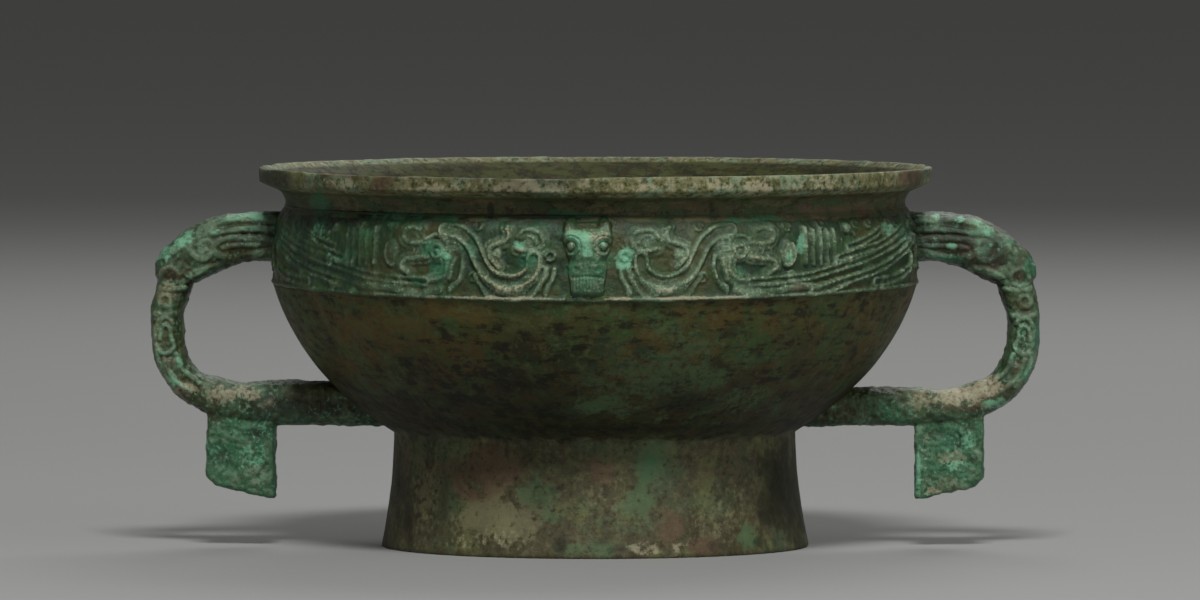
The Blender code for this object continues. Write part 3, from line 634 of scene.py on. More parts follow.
def frieze_relief():
    """One quarter of the frieze: a crested creature with a round eye, barred wing and sweeping tail."""
    turns = np.linspace(0, 90, QUARTER_COLUMNS + 1)
    shares = np.linspace(0, 1, FRIEZE_ROWS)
    across, up = np.meshgrid(np.radians(turns) * BAND_FOOT_RADIUS, shares * BAND_DEPTH)
    relief = Relief(np.column_stack([across.ravel(), up.ravel()]))

    def spot(turn, share):
        return np.array([math.radians(turn + FIGURE_START) * BAND_FOOT_RADIUS, share * BAND_DEPTH])

    def line(points):
        return smooth_line([spot(*point) for point in points], 1.0 * MM)

    def arc(centre, radii, first, last, count):
        return smooth_line(oval(spot(*centre), np.multiply(radii, MM), first, last, count), 0.8 * MM)

    drawn = {"plateau": relief.plateau, "ribbon": relief.ribbon, "ridge": relief.ridge}
    for kind, lines, widths, share in STROKES:
        for points in lines:
            drawn[kind](line(points), *np.multiply(widths, MM), share * RELIEF_PROUD)
    for centre in FILLERS:
        relief.ridge(arc(centre, (1.5, 1.4), 0, 300, 9), 0.7 * MM, 0.55 * RELIEF_PROUD)
    for centre in BOSSES:
        relief.boss(spot(*centre), (2.0 * MM, 2.0 * MM), 0.9 * RELIEF_PROUD)
    relief.ridge(arc(EYE, (2.1, 2.1), 0, 360, 13), 0.8 * MM, RELIEF_PROUD)
    relief.boss(spot(*EYE), (1.1 * MM, 1.1 * MM), 0.8 * RELIEF_PROUD)
    relief.boss(spot(*LEAF), (2.9 * MM, 4.5 * MM), 0.75 * RELIEF_PROUD)
    relief.ridge(arc(LEAF, (2.7, 4.2), 40, -110, 9), 0.8 * MM, RELIEF_PROUD)
    border = BORDER_PROUD * fade(np.abs(relief.spots[:, 1] - 0.5 * BORDER_WIDTH) / BORDER_WIDTH, 0.2, 0.62)
    border *= 1 - fade(relief.spots[:, 0], 6.6 * MM, 7.4 * MM)
    border *= 0.3 + 0.7 * fade(relief.spots[:, 0] / BAND_FOOT_RADIUS, math.radians(62), math.radians(84))
    relief.height = np.maximum(relief.height, border)
    top = fade(relief.spots[:, 1], BAND_DEPTH - 2.6 * MM, BAND_DEPTH - 0.8 * MM)
    return (relief.height * top).reshape(FRIEZE_ROWS, QUARTER_COLUMNS + 1)


def frieze():
    """The cast band: the quarter's relief four times round, mirrored at heads and handles."""
    columns = 4 * QUARTER_COLUMNS
    fold = np.arange(columns) % (2 * QUARTER_COLUMNS)
    quarter = np.minimum(fold, 2 * QUARTER_COLUMNS - fold)
    height = frieze_relief()[:, quarter]
    angles = np.arange(columns) * math.tau / columns - 0.5 * math.pi
    levels = BAND_FOOT + np.linspace(0, 1, FRIEZE_ROWS) * BAND_DEPTH
    front = np.empty((FRIEZE_ROWS, columns, 3))
    front[:, :, 0] = np.cos(angles)
    front[:, :, 1] = np.sin(angles)
    front[:, :, 2] = 0
    shoulder = BAND_SHOULDER * np.linspace(0, 1, FRIEZE_ROWS) ** 7
    ground = (band_radius(levels) - shoulder)[:, None, None] * front
    drop = BORDER_DROP * np.sin(angles) ** 2
    ground[:, :, 2] = levels[:, None] - drop * fade(levels - BAND_FOOT, BORDER_WIDTH, 3.4 * MM)[:, None]
    flat = ground.reshape(-1, 3)
    worn = 0.85 + wear(flat, FIGURE_WEAR)
    corroded = fade(flat[:, 0], *CORRODED) * fade(flat[:, 1], -20 * MM, 0)
    relief = height.ravel() * np.clip(worn, 0.35, 1.15) * (1 - CORRODED_LOSS * corroded)
    crust = 0.6 * grains(flat, 4.2 * MM, 25, 0.4)
    relief = relief + (wear(flat, BAND_WEAR) + crust * (1 + corroded) - 0.1) * MM
    flat = flat + front.reshape(-1, 3) * relief[:, None]
    edges = [(BAND_TOP_RADIUS - BAND_SHOULDER - 0.5 * MM, BAND_TOP + 0.4 * MM),
             (NECK_RADIUS + 0.2 * MM, BAND_TOP + 0.9 * MM), (NECK_RADIUS - 0.5 * MM, BAND_TOP + 1.5 * MM),
             (NECK_RADIUS - 0.8 * MM, BAND_TOP + 0.3 * MM),
             (BAND_TOP_RADIUS - 2.6 * MM, BAND_FOOT + 0.5 * BAND_DEPTH),
             (BAND_FOOT_RADIUS - 2.5 * MM, BAND_FOOT - 0.5 * MM),
             (BAND_FOOT_RADIUS - 0.6 * MM, BAND_FOOT - 0.4 * MM)]
    verts = flat.tolist()
    for radius, level in edges:
        lower = drop if level < BAND_FOOT else 0 * drop
        inner = radius - 0.4 * lower
        ring = np.column_stack([inner * np.cos(angles), inner * np.sin(angles), level - lower])
        verts.extend(ring.tolist())
    rows = FRIEZE_ROWS + len(edges)
    faces = []
    for row in range(rows):
        faces += bridge(row * columns, columns, (row + 1) % rows * columns, columns)
    piece = add_piece("frieze", verts, faces)
    lift = np.zeros(len(verts))
    lift[:relief.size] = relief / RELIEF_PROUD
    mark(piece, "relief", lift)
    return piece


def head_relief(across, up):
    """Forehead, horns, ringed eyes, long nose and hatched muzzle, in millimetres over the band's ground."""
    levels, halves, prouds = np.array(HEAD_PROFILE).T
    half = np.interp(up, levels, halves)
    proud = np.interp(up, levels, prouds)
    side = np.abs(across)
    crown = fade(side / half, 0.1, 1.5) * fade(side / half, 0.85, 1.1)
    beyond = 1 - fade(side / half, 0.9, 1.15)
    height = np.where(proud > 0, proud * crown - 1.2 * beyond, proud - 4 * beyond)
    height += 0.9 * fade(np.abs(side - HEAD_HORN[0]), 0.5, 1.5) * fade(np.abs(up - HEAD_HORN[1]), 2.0, 3.8)
    height -= BROW_DIP * fade(side, 2.6, 4.8) * (1 - fade(up, 19.4, 22.4))
    eye = np.hypot(side - HEAD_EYE[0], up - HEAD_EYE[1])
    height -= 1.2 * fade(eye, 2.0, 3.6)
    height += 1.0 * fade(np.abs(eye - 2.5), 0.3, 0.9)
    height += 1.7 * fade(eye, 0.6, 1.7)
    height += 0.7 * fade(np.abs(eye - 4.0), 0.2, 0.9) * (1 - fade(up, HEAD_EYE[1] - 1.0, HEAD_EYE[1] + 1.0))
    height += 0.8 * fade(side, 1.3, 2.5) * fade(np.abs(up - HEAD_EYE[1]), 2.8, 5.0)
    height += 0.6 * fade(np.hypot(side - HEAD_CHEEK[0], (up - HEAD_CHEEK[1]) * 0.8), 0.9, 2.7)
    height -= 0.9 * fade(np.hypot(side - HEAD_HOLLOW[0], up - HEAD_HOLLOW[1]), 0.6, 2.2)
    curl = np.hypot(side - HEAD_CURL[0], up - HEAD_CURL[1])
    height += 0.3 * fade(np.abs(curl - 1.3), 0.2, 0.7)
    height -= 0.45 * fade(np.abs(up - HEAD_MOUTH + 0.1 * side), 0.2, 0.7) * fade(side, 4.6, 5.6)
    hatch = fade(np.abs(up - HEAD_TEETH), 1.6, 2.3) * fade(side, 4.4, 5.4)
    height += 0.3 * hatch * np.cos(across * math.tau / TEETH_PITCH)
    ground = -1.2 - 3.4 * np.clip(up / 25.0, 0, 1.1) ** 7
    return np.maximum(height, ground)


def middle_head(name, turn):
    """A small beast head on the frieze; its skin runs in behind the band all round."""
    across = np.arange(-9.5 * MM, 9.5 * MM + 0.5 * HEAD_STEP, HEAD_STEP)
    up = np.arange(-1.4 * MM, 26.4 * MM, HEAD_STEP)
    wide, tall = len(across), len(up)
    flat_across, flat_up = (grid.ravel() for grid in np.meshgrid(across, up))
    height = head_relief(flat_across / MM, flat_up / MM) * MM
    levels = BAND_FOOT + flat_up
    angle = turn + flat_across / BAND_FOOT_RADIUS

    def around(radius):
        return np.column_stack([radius * np.sin(angle), -radius * np.cos(angle), levels])

    ground = around(band_radius(levels))
    rough = wear(ground, HEAD_WEAR) * MM
    verts = around(np.minimum(band_radius(levels) + height + rough, RIM_RADIUS - 0.1 * MM))
    faces = []
    for row in range(tall - 1):
        start = row * wide + np.arange(wide - 1)
        faces += np.column_stack([start, start + 1, start + wide + 1, start + wide]).tolist()
    grid = np.arange(wide * tall).reshape(tall, wide)
    border = np.concatenate([grid[0, :-1], grid[:-1, -1], grid[-1, :0:-1], grid[:0:-1, 0]])
    back = np.interp(levels, (BAND_FOOT, BAND_TOP), (BAND_FOOT_RADIUS - 0.7 * WALL, NECK_RADIUS - 0.3 * WALL))
    behind = around(back)[border]
    first = len(verts)
    count = len(border)
    for index in range(count):
        after = (index + 1) % count
        faces.append((border[index], first + index, first + after, border[after]))
    faces.append(tuple(range(first, first + count))[::-1])
    piece = add_piece(name, np.vstack([verts, behind]).tolist(), faces)
    lift = np.zeros(first + count)
    lift[:first] = np.clip((height + 2 * rough) / (3.6 * MM), 0, 1.2)
    mark(piece, "relief", lift)
    return piece


def handle_stations(bar, bar_depth):
    """The limb's centre line: out, height, depth across the line and breadth, from band to belly."""
    root = BAND_TOP_RADIUS
    top = LIMB_HEIGHT
    reach = HANDLE_REACH - root
    rise = top - bar
    spine = HANDLE_REACH - 0.5 * LOOP_DEPTH
    return [
        (root - 1.6 * MM, top, LIMB_DEPTH, LIMB_BREADTH),
        (root + 0.20 * reach, top, LIMB_DEPTH, LIMB_BREADTH),
        (root + 0.42 * reach, top - 0.03 * rise, 1.06 * LIMB_DEPTH, 1.04 * LIMB_BREADTH),
        (root + 0.60 * reach, top - 0.09 * rise, 1.04 * LIMB_DEPTH, 1.04 * LIMB_BREADTH),
        (root + 0.745 * reach, top - 0.165 * rise, 0.97 * LIMB_DEPTH, LIMB_BREADTH),
        (spine - 0.068 * reach, top - 0.21 * rise, 0.9 * LIMB_DEPTH, LIMB_BREADTH),
        (spine - 0.067 * reach, top - 0.27 * rise, 1.12 * LOOP_DEPTH, 0.92 * LOOP_BREADTH),
        (spine - 0.036 * reach, top - 0.35 * rise, 1.05 * LOOP_DEPTH, 0.96 * LOOP_BREADTH),
        (spine, top - 0.44 * rise, LOOP_DEPTH, LOOP_BREADTH),
        (spine, top - 0.58 * rise, LOOP_DEPTH, LOOP_BREADTH),
        (spine - 0.04 * reach, top - 0.74 * rise, LOOP_DEPTH, LOOP_BREADTH),
        (spine - 0.17 * reach, top - 0.885 * rise, LOOP_DEPTH, LOOP_BREADTH),
        (spine - 0.37 * reach, top - 0.96 * rise, 0.5 * (LOOP_DEPTH + bar_depth), LOOP_BREADTH),
        (spine - 0.62 * reach, bar, 0.9 * bar_depth, LOOP_BREADTH),
        (root - 0.05 * reach, bar, bar_depth, LOOP_BREADTH),
        (FOOT_TOP_RADIUS, bar, 1.04 * bar_depth, LOOP_BREADTH),
    ]


def limb_form(side, stations):
    """Points and faces of the round-cornered limb, swept along its centre line."""
    line = smooth_line(stations, 2.0 * MM)
    along = np.gradient(line[:, :2], axis=0)
    along /= np.linalg.norm(along, axis=1)[:, None]
    angles = math.tau * (np.arange(LIMB_SIDES) + 0.5) / LIMB_SIDES
    fill = (np.abs(np.sin(angles)) ** 3 + np.abs(np.cos(angles)) ** 3) ** (-1 / 3)
    verts = []
    for (out, height, depth, breadth), (run, rise) in zip(line, along):
        lift = 0.5 * depth * fill * np.sin(angles)
        across = 0.5 * breadth * fill * np.cos(angles)
        ring = np.column_stack([side * (out - rise * lift), across, height + run * lift])
        verts.extend(ring.tolist())
    faces = []
    for index in range(len(line) - 1):
        faces += bridge(index * LIMB_SIDES, LIMB_SIDES, (index + 1) * LIMB_SIDES, LIMB_SIDES)
    faces.append(tuple(range(LIMB_SIDES))[::-1])
    faces.append(tuple(range(len(verts) - LIMB_SIDES, len(verts))))
    return verts, faces


def tab_form(side, top, first):
    """Points and faces of the tab under the bar, its bottom edge slanting up to the outside."""
    inner = TAB_OUTER - TAB_WIDTH
    outline = [(inner, top), (inner, TAB_BOTTOM), (inner + 0.12 * TAB_WIDTH, TAB_BOTTOM),
               (TAB_OUTER - 0.12 * TAB_WIDTH, TAB_BOTTOM + 0.75 * TAB_SLANT),
               (TAB_OUTER, TAB_BOTTOM + 1.3 * TAB_SLANT), (TAB_OUTER, top)]
    half = 0.5 * TAB_BREADTH
    middle = 0.5 * (inner + TAB_OUTER)
    verts = []
    slices = ((-half, TAB_BEVEL), (-half + TAB_BEVEL, 0.0), (half - TAB_BEVEL, 0.0), (half, TAB_BEVEL))
    for across, inset in slices:
        for out, height in outline:
            pull = math.copysign(inset, middle - out)
            verts.append((side * (out + pull), across, height + inset))
    count = len(outline)
    faces = []
    for index in range(3):
        faces += (np.array(bridge(index * count, count, (index + 1) * count, count)) + first).tolist()
    faces.append(tuple(range(first, first + count))[::-1])
    faces.append(tuple(range(first + 3 * count, first + 4 * count)))
    return verts, faces


def inner_bowl():
    """A solid that fills the bowl out to the middle of its wall, to end the handles inside the wall."""
    middle = belly_line(0.5 * WALL)
    line = [(middle[0][0] - 6 * MM, middle[0][1] - 3 * MM)]
    line += smooth_line(middle, 3 * MM).tolist()
    line += [(BAND_FOOT_RADIUS - 0.6 * WALL, BAND_FOOT), (NECK_RADIUS - 1.0 * MM, BAND_TOP)]
    return turned_skin("inner_bowl", [(radius, height, 96) for radius, height in line])


def cast_solid(form, name):
    """The form as its modifiers leave it, in a new piece."""
    graph = bpy.context.evaluated_depsgraph_get()
    data = bpy.data.meshes.new_from_object(form.evaluated_get(graph))
    data.name = name
    data.shade_smooth()
    return put_in(name, data)


def handle_relief(out, height):
    """Upper beast, bird and plumes, as heights over the limb's flat side."""
    relief = Relief(np.column_stack([out, height]))

    def line(points):
        return smooth_line(np.array(points) * MM, 1.0 * MM)

    def place(spot):
        return np.array(spot) * MM

    for points, half_width, proud in HANDLE_RIDGES:
        relief.ridge(line(points), half_width * MM, proud * MM)
    relief.boss(place(BROW_EYE), (2.4 * MM, 2.4 * MM), 1.3 * MM)
    relief.ridge(line(oval(SNOUT_CURL, (2.9, 2.9), 0, 360, 13)), 1.3 * MM, 0.9 * MM)
    relief.boss(place(BIRD_EYE), (2.9 * MM, 2.9 * MM), 0.9 * MM)
    relief.pit(place(BIRD_EYE), (1.5 * MM, 1.5 * MM), 0.8 * MM)
    for points in COLLARS:
        relief.ridge(line(points), 1.4 * MM, 0.8 * MM)
    wing = oval(WING, (3.5, 6.0), 137, -149, 13) + oval(WING, (1.9, 3.6), 190, -20, 7)
    relief.ridge(line(wing), 1.15 * MM, 0.9 * MM)
    for points in PLUMES:
        relief.ridge(line(points), 1.2 * MM, 0.8 * MM)
    for points in GROOVES:
        relief.groove(line(points), 0.9 * MM, 0.4 * MM)
    return relief.height


def handle(name, side, bar, seed):
    """One beast handle: limb and tab cast as one skin, then carved and worn."""
    bar_rise, bar_depth = bar
    bar_height = FOOT_HEIGHT + bar_rise
    stations = handle_stations(bar_height, bar_depth)
    verts, faces = limb_form(side, stations)
    tab_verts, tab_faces = tab_form(side, bar_height, len(verts))
    form = add_piece(name + "_form", verts + tab_verts, faces + tab_faces)
    bowl = inner_bowl()
    cut = form.modifiers.new("end_in_wall", "BOOLEAN")
    cut.operation = "DIFFERENCE"
    cut.solver = "EXACT"
    cut.use_self = True
    cut.object = bowl
    skin = form.modifiers.new("one_skin", "REMESH")
    skin.mode = "VOXEL"
    skin.voxel_size = HANDLE_GRAIN
    soften = form.modifiers.new("soften", "SMOOTH")
    soften.factor = 0.5
    soften.iterations = 4
    piece = cast_solid(form, name)
    bpy.data.objects.remove(form)
    bpy.data.objects.remove(bowl)
    points = points_of(piece)
    normals = normals_of(piece)
    out = np.abs(points[:, 0])
    height = points[:, 2]
    facing = 1 - fade(np.abs(normals[:, 1]), 0.25, 0.75)
    on_limb = 1 - fade(height, bar_height + 2 * MM, bar_height + 6 * MM)
    worn = np.clip(0.85 + 0.45 * lumps(points, 6 * MM, seed), 0.35, 1.2)
    on_loop = fade(np.abs(out - PLUMES_OUT), 4 * MM, 16 * MM)
    relief = handle_relief(out, height) * facing * np.maximum(on_limb, on_loop) * worn
    tab = fade(height, bar_height - 0.6 * bar_depth, bar_height - 0.4 * bar_depth)
    rough = wear(points, LIMB_WEAR, seed) + 0.6 * grains(points, 3.6 * MM, seed + 3, 0.4)
    rough += tab * wear(points, TAB_WEAR, seed)
    points += normals * (relief + (rough - 0.15) * MM)[:, None]
    points[:, 0] = np.clip(points[:, 0], -HANDLE_REACH, HANDLE_REACH)
    place_points(piece, points)
    mark(piece, "relief", np.clip(relief / MM + rough, -0.8, 1.3))
    return piece


def paint(red, green, blue):
    """A colour from screen values of 0 to 255."""
    return tuple((value / 255) ** 2.2 for value in (red, green, blue)) + (1.0,)


class Field:
    """A value that changes over a surface; sums and products of it add Math nodes."""

    def __init__(self, finish, socket):
        self.finish = finish
        self.socket = socket

    def maths(self, operation, first, second):
        return self.finish.add("ShaderNodeMath", {"operation": operation}, {0: first, 1: second})

    def __add__(self, other):
        return self.maths("ADD", self, other)

    def __sub__(self, other):
        return self.maths("SUBTRACT", self, other)

    def __rsub__(self, other):
        return self.maths("SUBTRACT", other, self)

    def __mul__(self, other):
        return self.maths("MULTIPLY", self, other)

    __radd__ = __add__
    __rmul__ = __mul__

    def over(self, low, high):
        """0 below the low value, 1 above the high one, eased between."""
        settings = {"interpolation_type": "SMOOTHSTEP"}
        return self.finish.add("ShaderNodeMapRange", settings, {0: self, 1: low, 2: high})


class Finish:
    """A material whose values and colours come from nodes added one by one."""

    def __init__(self, name):
        self.material = bpy.data.materials.new(name)
        self.material.use_nodes = True
        self.shader = self.material.node_tree.nodes["Principled BSDF"]
        self.place = self.add("ShaderNodeTexCoord", {}, {}, 3)

    def add(self, kind, settings, inputs, output=0):
        """A node of a kind: its settings first, then the values or links of its sockets."""
        node = self.material.node_tree.nodes.new(kind)
        for name, value in settings.items():
            setattr(node, name, value)
        for key, value in inputs.items():
            self.feed(node.inputs[key], value)
        return Field(self, node.outputs[output])

    def feed(self, socket, value):
        if isinstance(value, Field):
            self.material.node_tree.links.new(value.socket, socket)
        else:
            socket.default_value = value

    def noise(self, size, seed, detail=9.0, stretch=(1, 1, 1)):
        """Chance values around one half, in blotches of about the given size."""
        place = self.add("ShaderNodeVectorMath", {"operation": "MULTIPLY"}, {0: self.place, 1: stretch})
        shift = (seed, 0.7 * seed, 0.3 * seed)
        place = self.add("ShaderNodeVectorMath", {"operation": "ADD"}, {0: place, 1: shift})
        values = {"Vector": place, "Scale": 1 / size, "Detail": detail, "Roughness": 0.66}
        return self.add("ShaderNodeTexNoise", {}, values)

    def mix(self, share, first, second):
        return self.add("ShaderNodeMix", {"data_type": "RGBA"}, {0: share, 6: first, 7: second}, 2)

    def coated(self, colour, coats):
        """A first colour under coats of others, each with its share of the surface."""
        for share, coat in coats:
            colour = self.mix(share, colour, coat)
        return colour

    def mark(self, name):
        return self.add("ShaderNodeAttribute", {"attribute_name": name}, {}, 2)

    def height(self):
        return self.add("ShaderNodeSeparateXYZ", {}, {0: self.place}, 2)

    def set(self, **sockets):
        for name, value in sockets.items():
            self.feed(self.shader.inputs[name.replace("_", " ")], value)

    def pitted(self, height, strength, depth):
        normal = self.add("ShaderNodeBump", {}, {"Height": height, "Strength": strength, "Distance": depth})
        self.feed(self.shader.inputs["Normal"], normal)


OLIVE = paint(70, 72, 36)
BROWN = paint(84, 72, 32)
BLACK = paint(24, 25, 13)
UMBER = paint(50, 45, 22)
KHAKI = paint(104, 106, 68)
TAN = paint(130, 127, 94)
CREAM = paint(182, 172, 142)
RUST = paint(104, 83, 64)
MOSS = paint(56, 86, 46)
SLATE_GREEN = paint(76, 104, 74)
GREY_GREEN = paint(116, 142, 112)
DEEP_GREEN = paint(32, 62, 40)
MALACHITE = paint(54, 118, 84)
MINT = paint(132, 198, 158)
LICHEN = paint(86, 112, 76)
TAUPE = paint(82, 78, 56)
OCHRE = paint(100, 84, 38)
PAINTED_GLINT_GREEN = paint(170, 196, 160)

# The patches of each kind and their colour, in the order in which they are laid over one another
PATCHES = {
    "pale": (PALE_PATCHES, TAN),
    "ochre": (OCHRE_PATCHES, OCHRE),
    "rust": (RUST_PATCHES, RUST),
    "lichen": (LICHEN_PATCHES, LICHEN),
    "dark_and_shade": (DARK_AND_SHADE_PATCHES, BLACK),
    "cream": (CREAM_PATCHES, CREAM),
    "malachite": (MALACHITE_PATCHES, MALACHITE),
    "mint": (MINT_PATCHES, MINT),
}


def laid_over(finish, colour, ragged):
    """The marked patches over a finish's own colour, breaking up into fine flecks at their edges."""
    for kind, (_, shade) in PATCHES.items():
        spread = finish.mark(kind)
        share = (ragged + spread * 0.42 - 0.66).over(-0.05, 0.08) * spread.over(0.04, 0.3)
        colour = finish.mix(share * (spread * 0.5 + 0.32), colour, shade)
    return colour


def vessel_patina():
    finish = Finish("vessel_patina")
    height = finish.height()
    push = finish.mark("relief")
    broad = finish.noise(40 * MM, 1.0)
    blotch = finish.noise(12 * MM, 2.0, detail=5.0)
    small = finish.noise(4.5 * MM, 3.0)
    fine = finish.noise(1.9 * MM, 6.0)
    streak = finish.noise(9 * MM, 5.0, stretch=(1, 1, 0.25))
    drawn = finish.noise(4.5 * MM, 7.0, detail=4.0, stretch=(0.5, 0.5, 2.2))
    # Painted shade: the belly darkened towards black over its lower half, where it turns down away from the
    # light; the edge of the shade wanders with the blotches
    low = 1 - (height + (blotch - 0.5) * (50 * MM)).over(44 * MM, 74 * MM)
    belly = finish.coated(OLIVE, [
        (broad.over(0.44, 0.54), BROWN),
        (blotch.over(0.5, 0.55) * 0.6, MOSS),
        ((drawn * 0.7 + small * 0.3).over(0.49, 0.56) * 0.6, UMBER),
        ((small * 0.6 + drawn * 0.4).over(0.52, 0.57) * 0.62, BLACK),
        ((1 - small * 0.6 - fine * 0.4).over(0.53, 0.58) * 0.45, KHAKI),
        # the painted shade of the lower belly
        (low * 0.66, BLACK)])
    foot = finish.coated(KHAKI, [
        (blotch.over(0.34, 0.52), TAUPE),
        (broad.over(0.5, 0.6) * 0.4, SLATE_GREEN),
        (streak.over(0.52, 0.64) * 0.45, UMBER),
        (fine.over(0.52, 0.62) * 0.3, TAN),
        ((1 - fine).over(0.54, 0.62) * 0.4, UMBER)])
    neck = finish.coated(UMBER, [
        (small.over(0.36, 0.54), TAUPE),
        ((drawn * 0.6 + blotch * 0.4).over(0.49, 0.55) * 0.6, MOSS),
        ((1 - drawn).over(0.51, 0.58) * 0.5, KHAKI),
        (fine.over(0.54, 0.6) * 0.5, BLACK)])
    lip = finish.coated(KHAKI, [
        ((blotch * 0.5 + small * 0.5).over(0.46, 0.6) * 0.8, OLIVE),
        ((small * 0.4 + fine * 0.6).over(0.47, 0.55) * 0.8, TAN),
        ((fine * 0.7 + blotch * 0.3).over(0.53, 0.59) * 0.5, CREAM),
        ((blotch * 0.6 + small * 0.4).over(0.49, 0.56) * 0.6, GREY_GREEN),
        ((1 - fine).over(0.54, 0.6) * 0.6, UMBER)])
    inside = finish.coated(OLIVE, [
        ((blotch * 0.4 + small * 0.6).over(0.44, 0.58) * 0.3, TAUPE),
        (drawn.over(0.46, 0.54) * 0.8, UMBER),
        (small.over(0.51, 0.58) * 0.5, BLACK),
        (fine.over(0.54, 0.62) * 0.5, MOSS)])
    edge = height + (small - 0.5) * (8 * MM)
    colour = finish.coated(foot, [
        (edge.over(FOOT_HEIGHT - 1 * MM, FOOT_HEIGHT + 2 * MM), belly),
        (edge.over(BAND_FOOT, BAND_TOP), neck),
        (height.over(LIP_FOOT - 1.2 * MM, LIP_FOOT - 0.2 * MM), lip)])
    colour = laid_over(finish, colour, small * 0.4 + fine * 0.6)
    colour = finish.coated(colour, [
        (finish.mark("inside"), inside),
        ((1 - fine * 0.6 - small * 0.4).over(0.54, 0.6) * 0.4, UMBER),
        ((0 - push).over(0.1, 0.5) * 0.6, BLACK)])
    finish.set(Base_Color=colour, Roughness=0.44 + small * 0.34, Specular_IOR_Level=0.34)
    finish.pitted(fine + drawn * 0.6, 0.6, 0.5 * MM)
    return finish.material


def frieze_patina(name):
    finish = Finish(name)
    relief = finish.mark("relief")
    broad = finish.noise(30 * MM, 11.0)
    blotch = finish.noise(9 * MM, 12.0)
    small = finish.noise(3 * MM, 13.0)
    fine = finish.noise(1.2 * MM, 14.0)
    speck = finish.noise(0.9 * MM, 15.0, detail=3.0)
    ground = finish.coated(OLIVE, [
        (broad.over(0.4, 0.56), DEEP_GREEN),
        (blotch.over(0.5, 0.6) * 0.7, MOSS),
        (small.over(0.52, 0.62) * 0.5, OLIVE)])
    raised = finish.coated(GREY_GREEN, [
        (blotch.over(0.4, 0.6), SLATE_GREEN),
        (broad.over(0.52, 0.64) * 0.4, KHAKI)])
    height = relief + (small * 0.6 + fine * 0.4) - 0.5
    # The raised relief lighter and its crests cream: partly worn high spots, partly painted highlight; the
    # pale green flecks on the relief are painted glints
    colour = finish.coated(ground, [
        (height.over(-0.05, 0.7), raised),
        (height.over(0.6, 1.1) * (speck.over(0.42, 0.56) * 0.7 + 0.1), CREAM),
        (height.over(0.1, 0.6) * speck.over(0.56, 0.62) * 0.6, PAINTED_GLINT_GREEN)])
    colour = laid_over(finish, colour, small * 0.5 + fine * 0.5)
    # Painted shade: the band's top few millimetres, its shoulder sloping in under the lip, darkened to umber
    # and deep green
    top = (finish.height() + (small - 0.5) * (5 * MM)).over(BAND_TOP - 3.4 * MM, BAND_TOP - 1.2 * MM)
    colour = finish.coated(colour, [
        (top * 0.7, finish.mix(blotch.over(0.46, 0.54), UMBER, DEEP_GREEN)),
        ((1 - speck).over(0.54, 0.62) * 0.4, UMBER)])
    finish.set(Base_Color=colour, Roughness=0.22 + small * 0.36)
    finish.pitted(small * 0.6 + fine, 0.9, 0.55 * MM)
    return finish.material


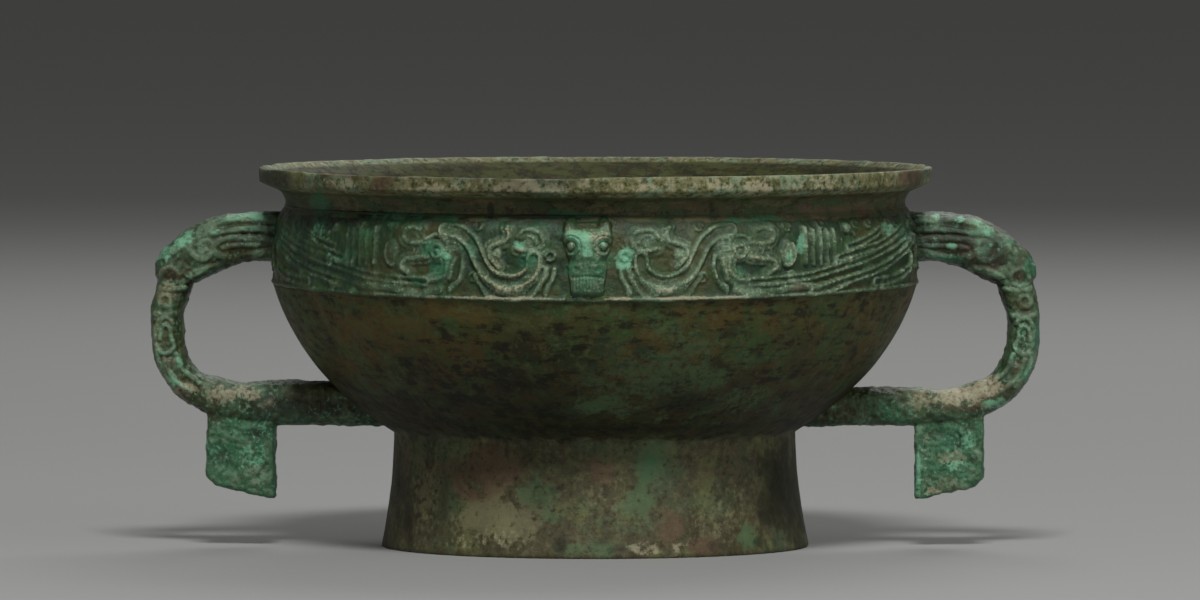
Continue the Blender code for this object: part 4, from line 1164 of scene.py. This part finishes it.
def handle_patina():
    finish = Finish("handle_patina")
    relief = finish.mark("relief")
    broad = finish.noise(26 * MM, 21.0)
    blotch = finish.noise(8 * MM, 22.0)
    small = finish.noise(3 * MM, 23.0)
    fine = finish.noise(1.2 * MM, 24.0)
    tab = 1 - (finish.height() + (small - 0.5) * (10 * MM)).over(37 * MM, 44 * MM)
    ground = finish.coated(SLATE_GREEN, [
        (broad.over(0.42, 0.58), OLIVE),
        (blotch.over(0.48, 0.6) * 0.7, DEEP_GREEN),
        (small.over(0.53, 0.64) * 0.6, BROWN),
        (tab * 0.6, MALACHITE)])
    height = relief + (small * 0.6 + fine * 0.4) - 0.5
    # The raised carving lighter, mint at its crests: partly worn high spots, partly painted highlight
    colour = finish.coated(ground, [
        (height.over(0.0, 0.7) * 0.8, GREY_GREEN),
        (height.over(0.7, 1.1) * 0.6, MINT),
        ((0 - height).over(0.05, 0.4) * 0.6, UMBER)])
    colour = laid_over(finish, colour, small * 0.5 + fine * 0.5)
    colour = finish.coated(colour, [
        ((1 - fine).over(0.52, 0.6) * 0.5, UMBER),
        # fine mint flecks: partly crust, partly painted glints
        ((fine * 0.7 + blotch * 0.3).over(0.55, 0.6) * 0.4, MINT)])
    finish.set(Base_Color=colour, Roughness=0.12 + small * 0.4)
    finish.pitted(small * 0.6 + fine, 0.9, 0.6 * MM)
    return finish.material


def floor():
    """A plain pale floor, wide enough for every view."""
    angles = np.arange(64) * math.tau / 64
    verts = [(FLOOR_REACH * math.cos(angle), FLOOR_REACH * math.sin(angle), 0.0) for angle in angles]
    piece = add_piece("floor", verts, [tuple(range(64))])
    finish = Finish("floor_paper")
    finish.set(Base_Color=paint(160, 160, 158), Roughness=0.9)
    piece.data.materials.append(finish.material)


def soft_light(name, place, size, power):
    data = bpy.data.lights.new(name, "AREA")
    data.shape = "RECTANGLE"
    data.size, data.size_y = size
    data.energy = power
    light = put_in(name, data)
    light.location = place
    light.rotation_euler = (Vector(LAMP_AIM) - Vector(place)).to_track_quat("-Z", "Y").to_euler()


def studio():
    world = bpy.data.worlds.new("studio")
    world.use_nodes = True
    light = world.node_tree.nodes["Background"].inputs
    light["Color"].default_value = (1.0, 1.0, 1.0, 1.0)
    light["Strength"].default_value = LIGHT_ALL_ROUND
    bpy.context.scene.world = world
    bpy.context.scene.view_settings.view_transform = "Standard"
    for name, (place, size, power) in LAMPS.items():
        soft_light(name, place, size, power)


def camera():
    data = bpy.data.cameras.new("camera")
    data.lens = LENS
    data.clip_end = 100
    eye = put_in("camera", data)
    swing = math.radians(CAMERA_AZIMUTH)
    back = -CAMERA_DISTANCE * math.cos(swing)
    eye.location = (AIM[0] + CAMERA_DISTANCE * math.sin(swing), back, CAMERA_HEIGHT)
    eye.rotation_euler = (Vector(AIM) - eye.location).to_track_quat("-Z", "Y").to_euler()
    bpy.context.scene.camera = eye


def main():
    camera()
    studio()
    floor()
    band_finish = frieze_patina("frieze_patina")
    handle_finish = handle_patina()
    stand_for_vessel(vessel(), vessel_patina())
    stand_for_vessel(frieze(), band_finish)
    stand_for_vessel(middle_head("front_head", 0.0), band_finish)
    stand_for_vessel(middle_head("back_head", math.pi), band_finish)
    stand_for_vessel(handle("left_handle", -1, LEFT_BAR, 41), handle_finish)
    stand_for_vessel(handle("right_handle", 1, RIGHT_BAR, 51), handle_finish)


main()
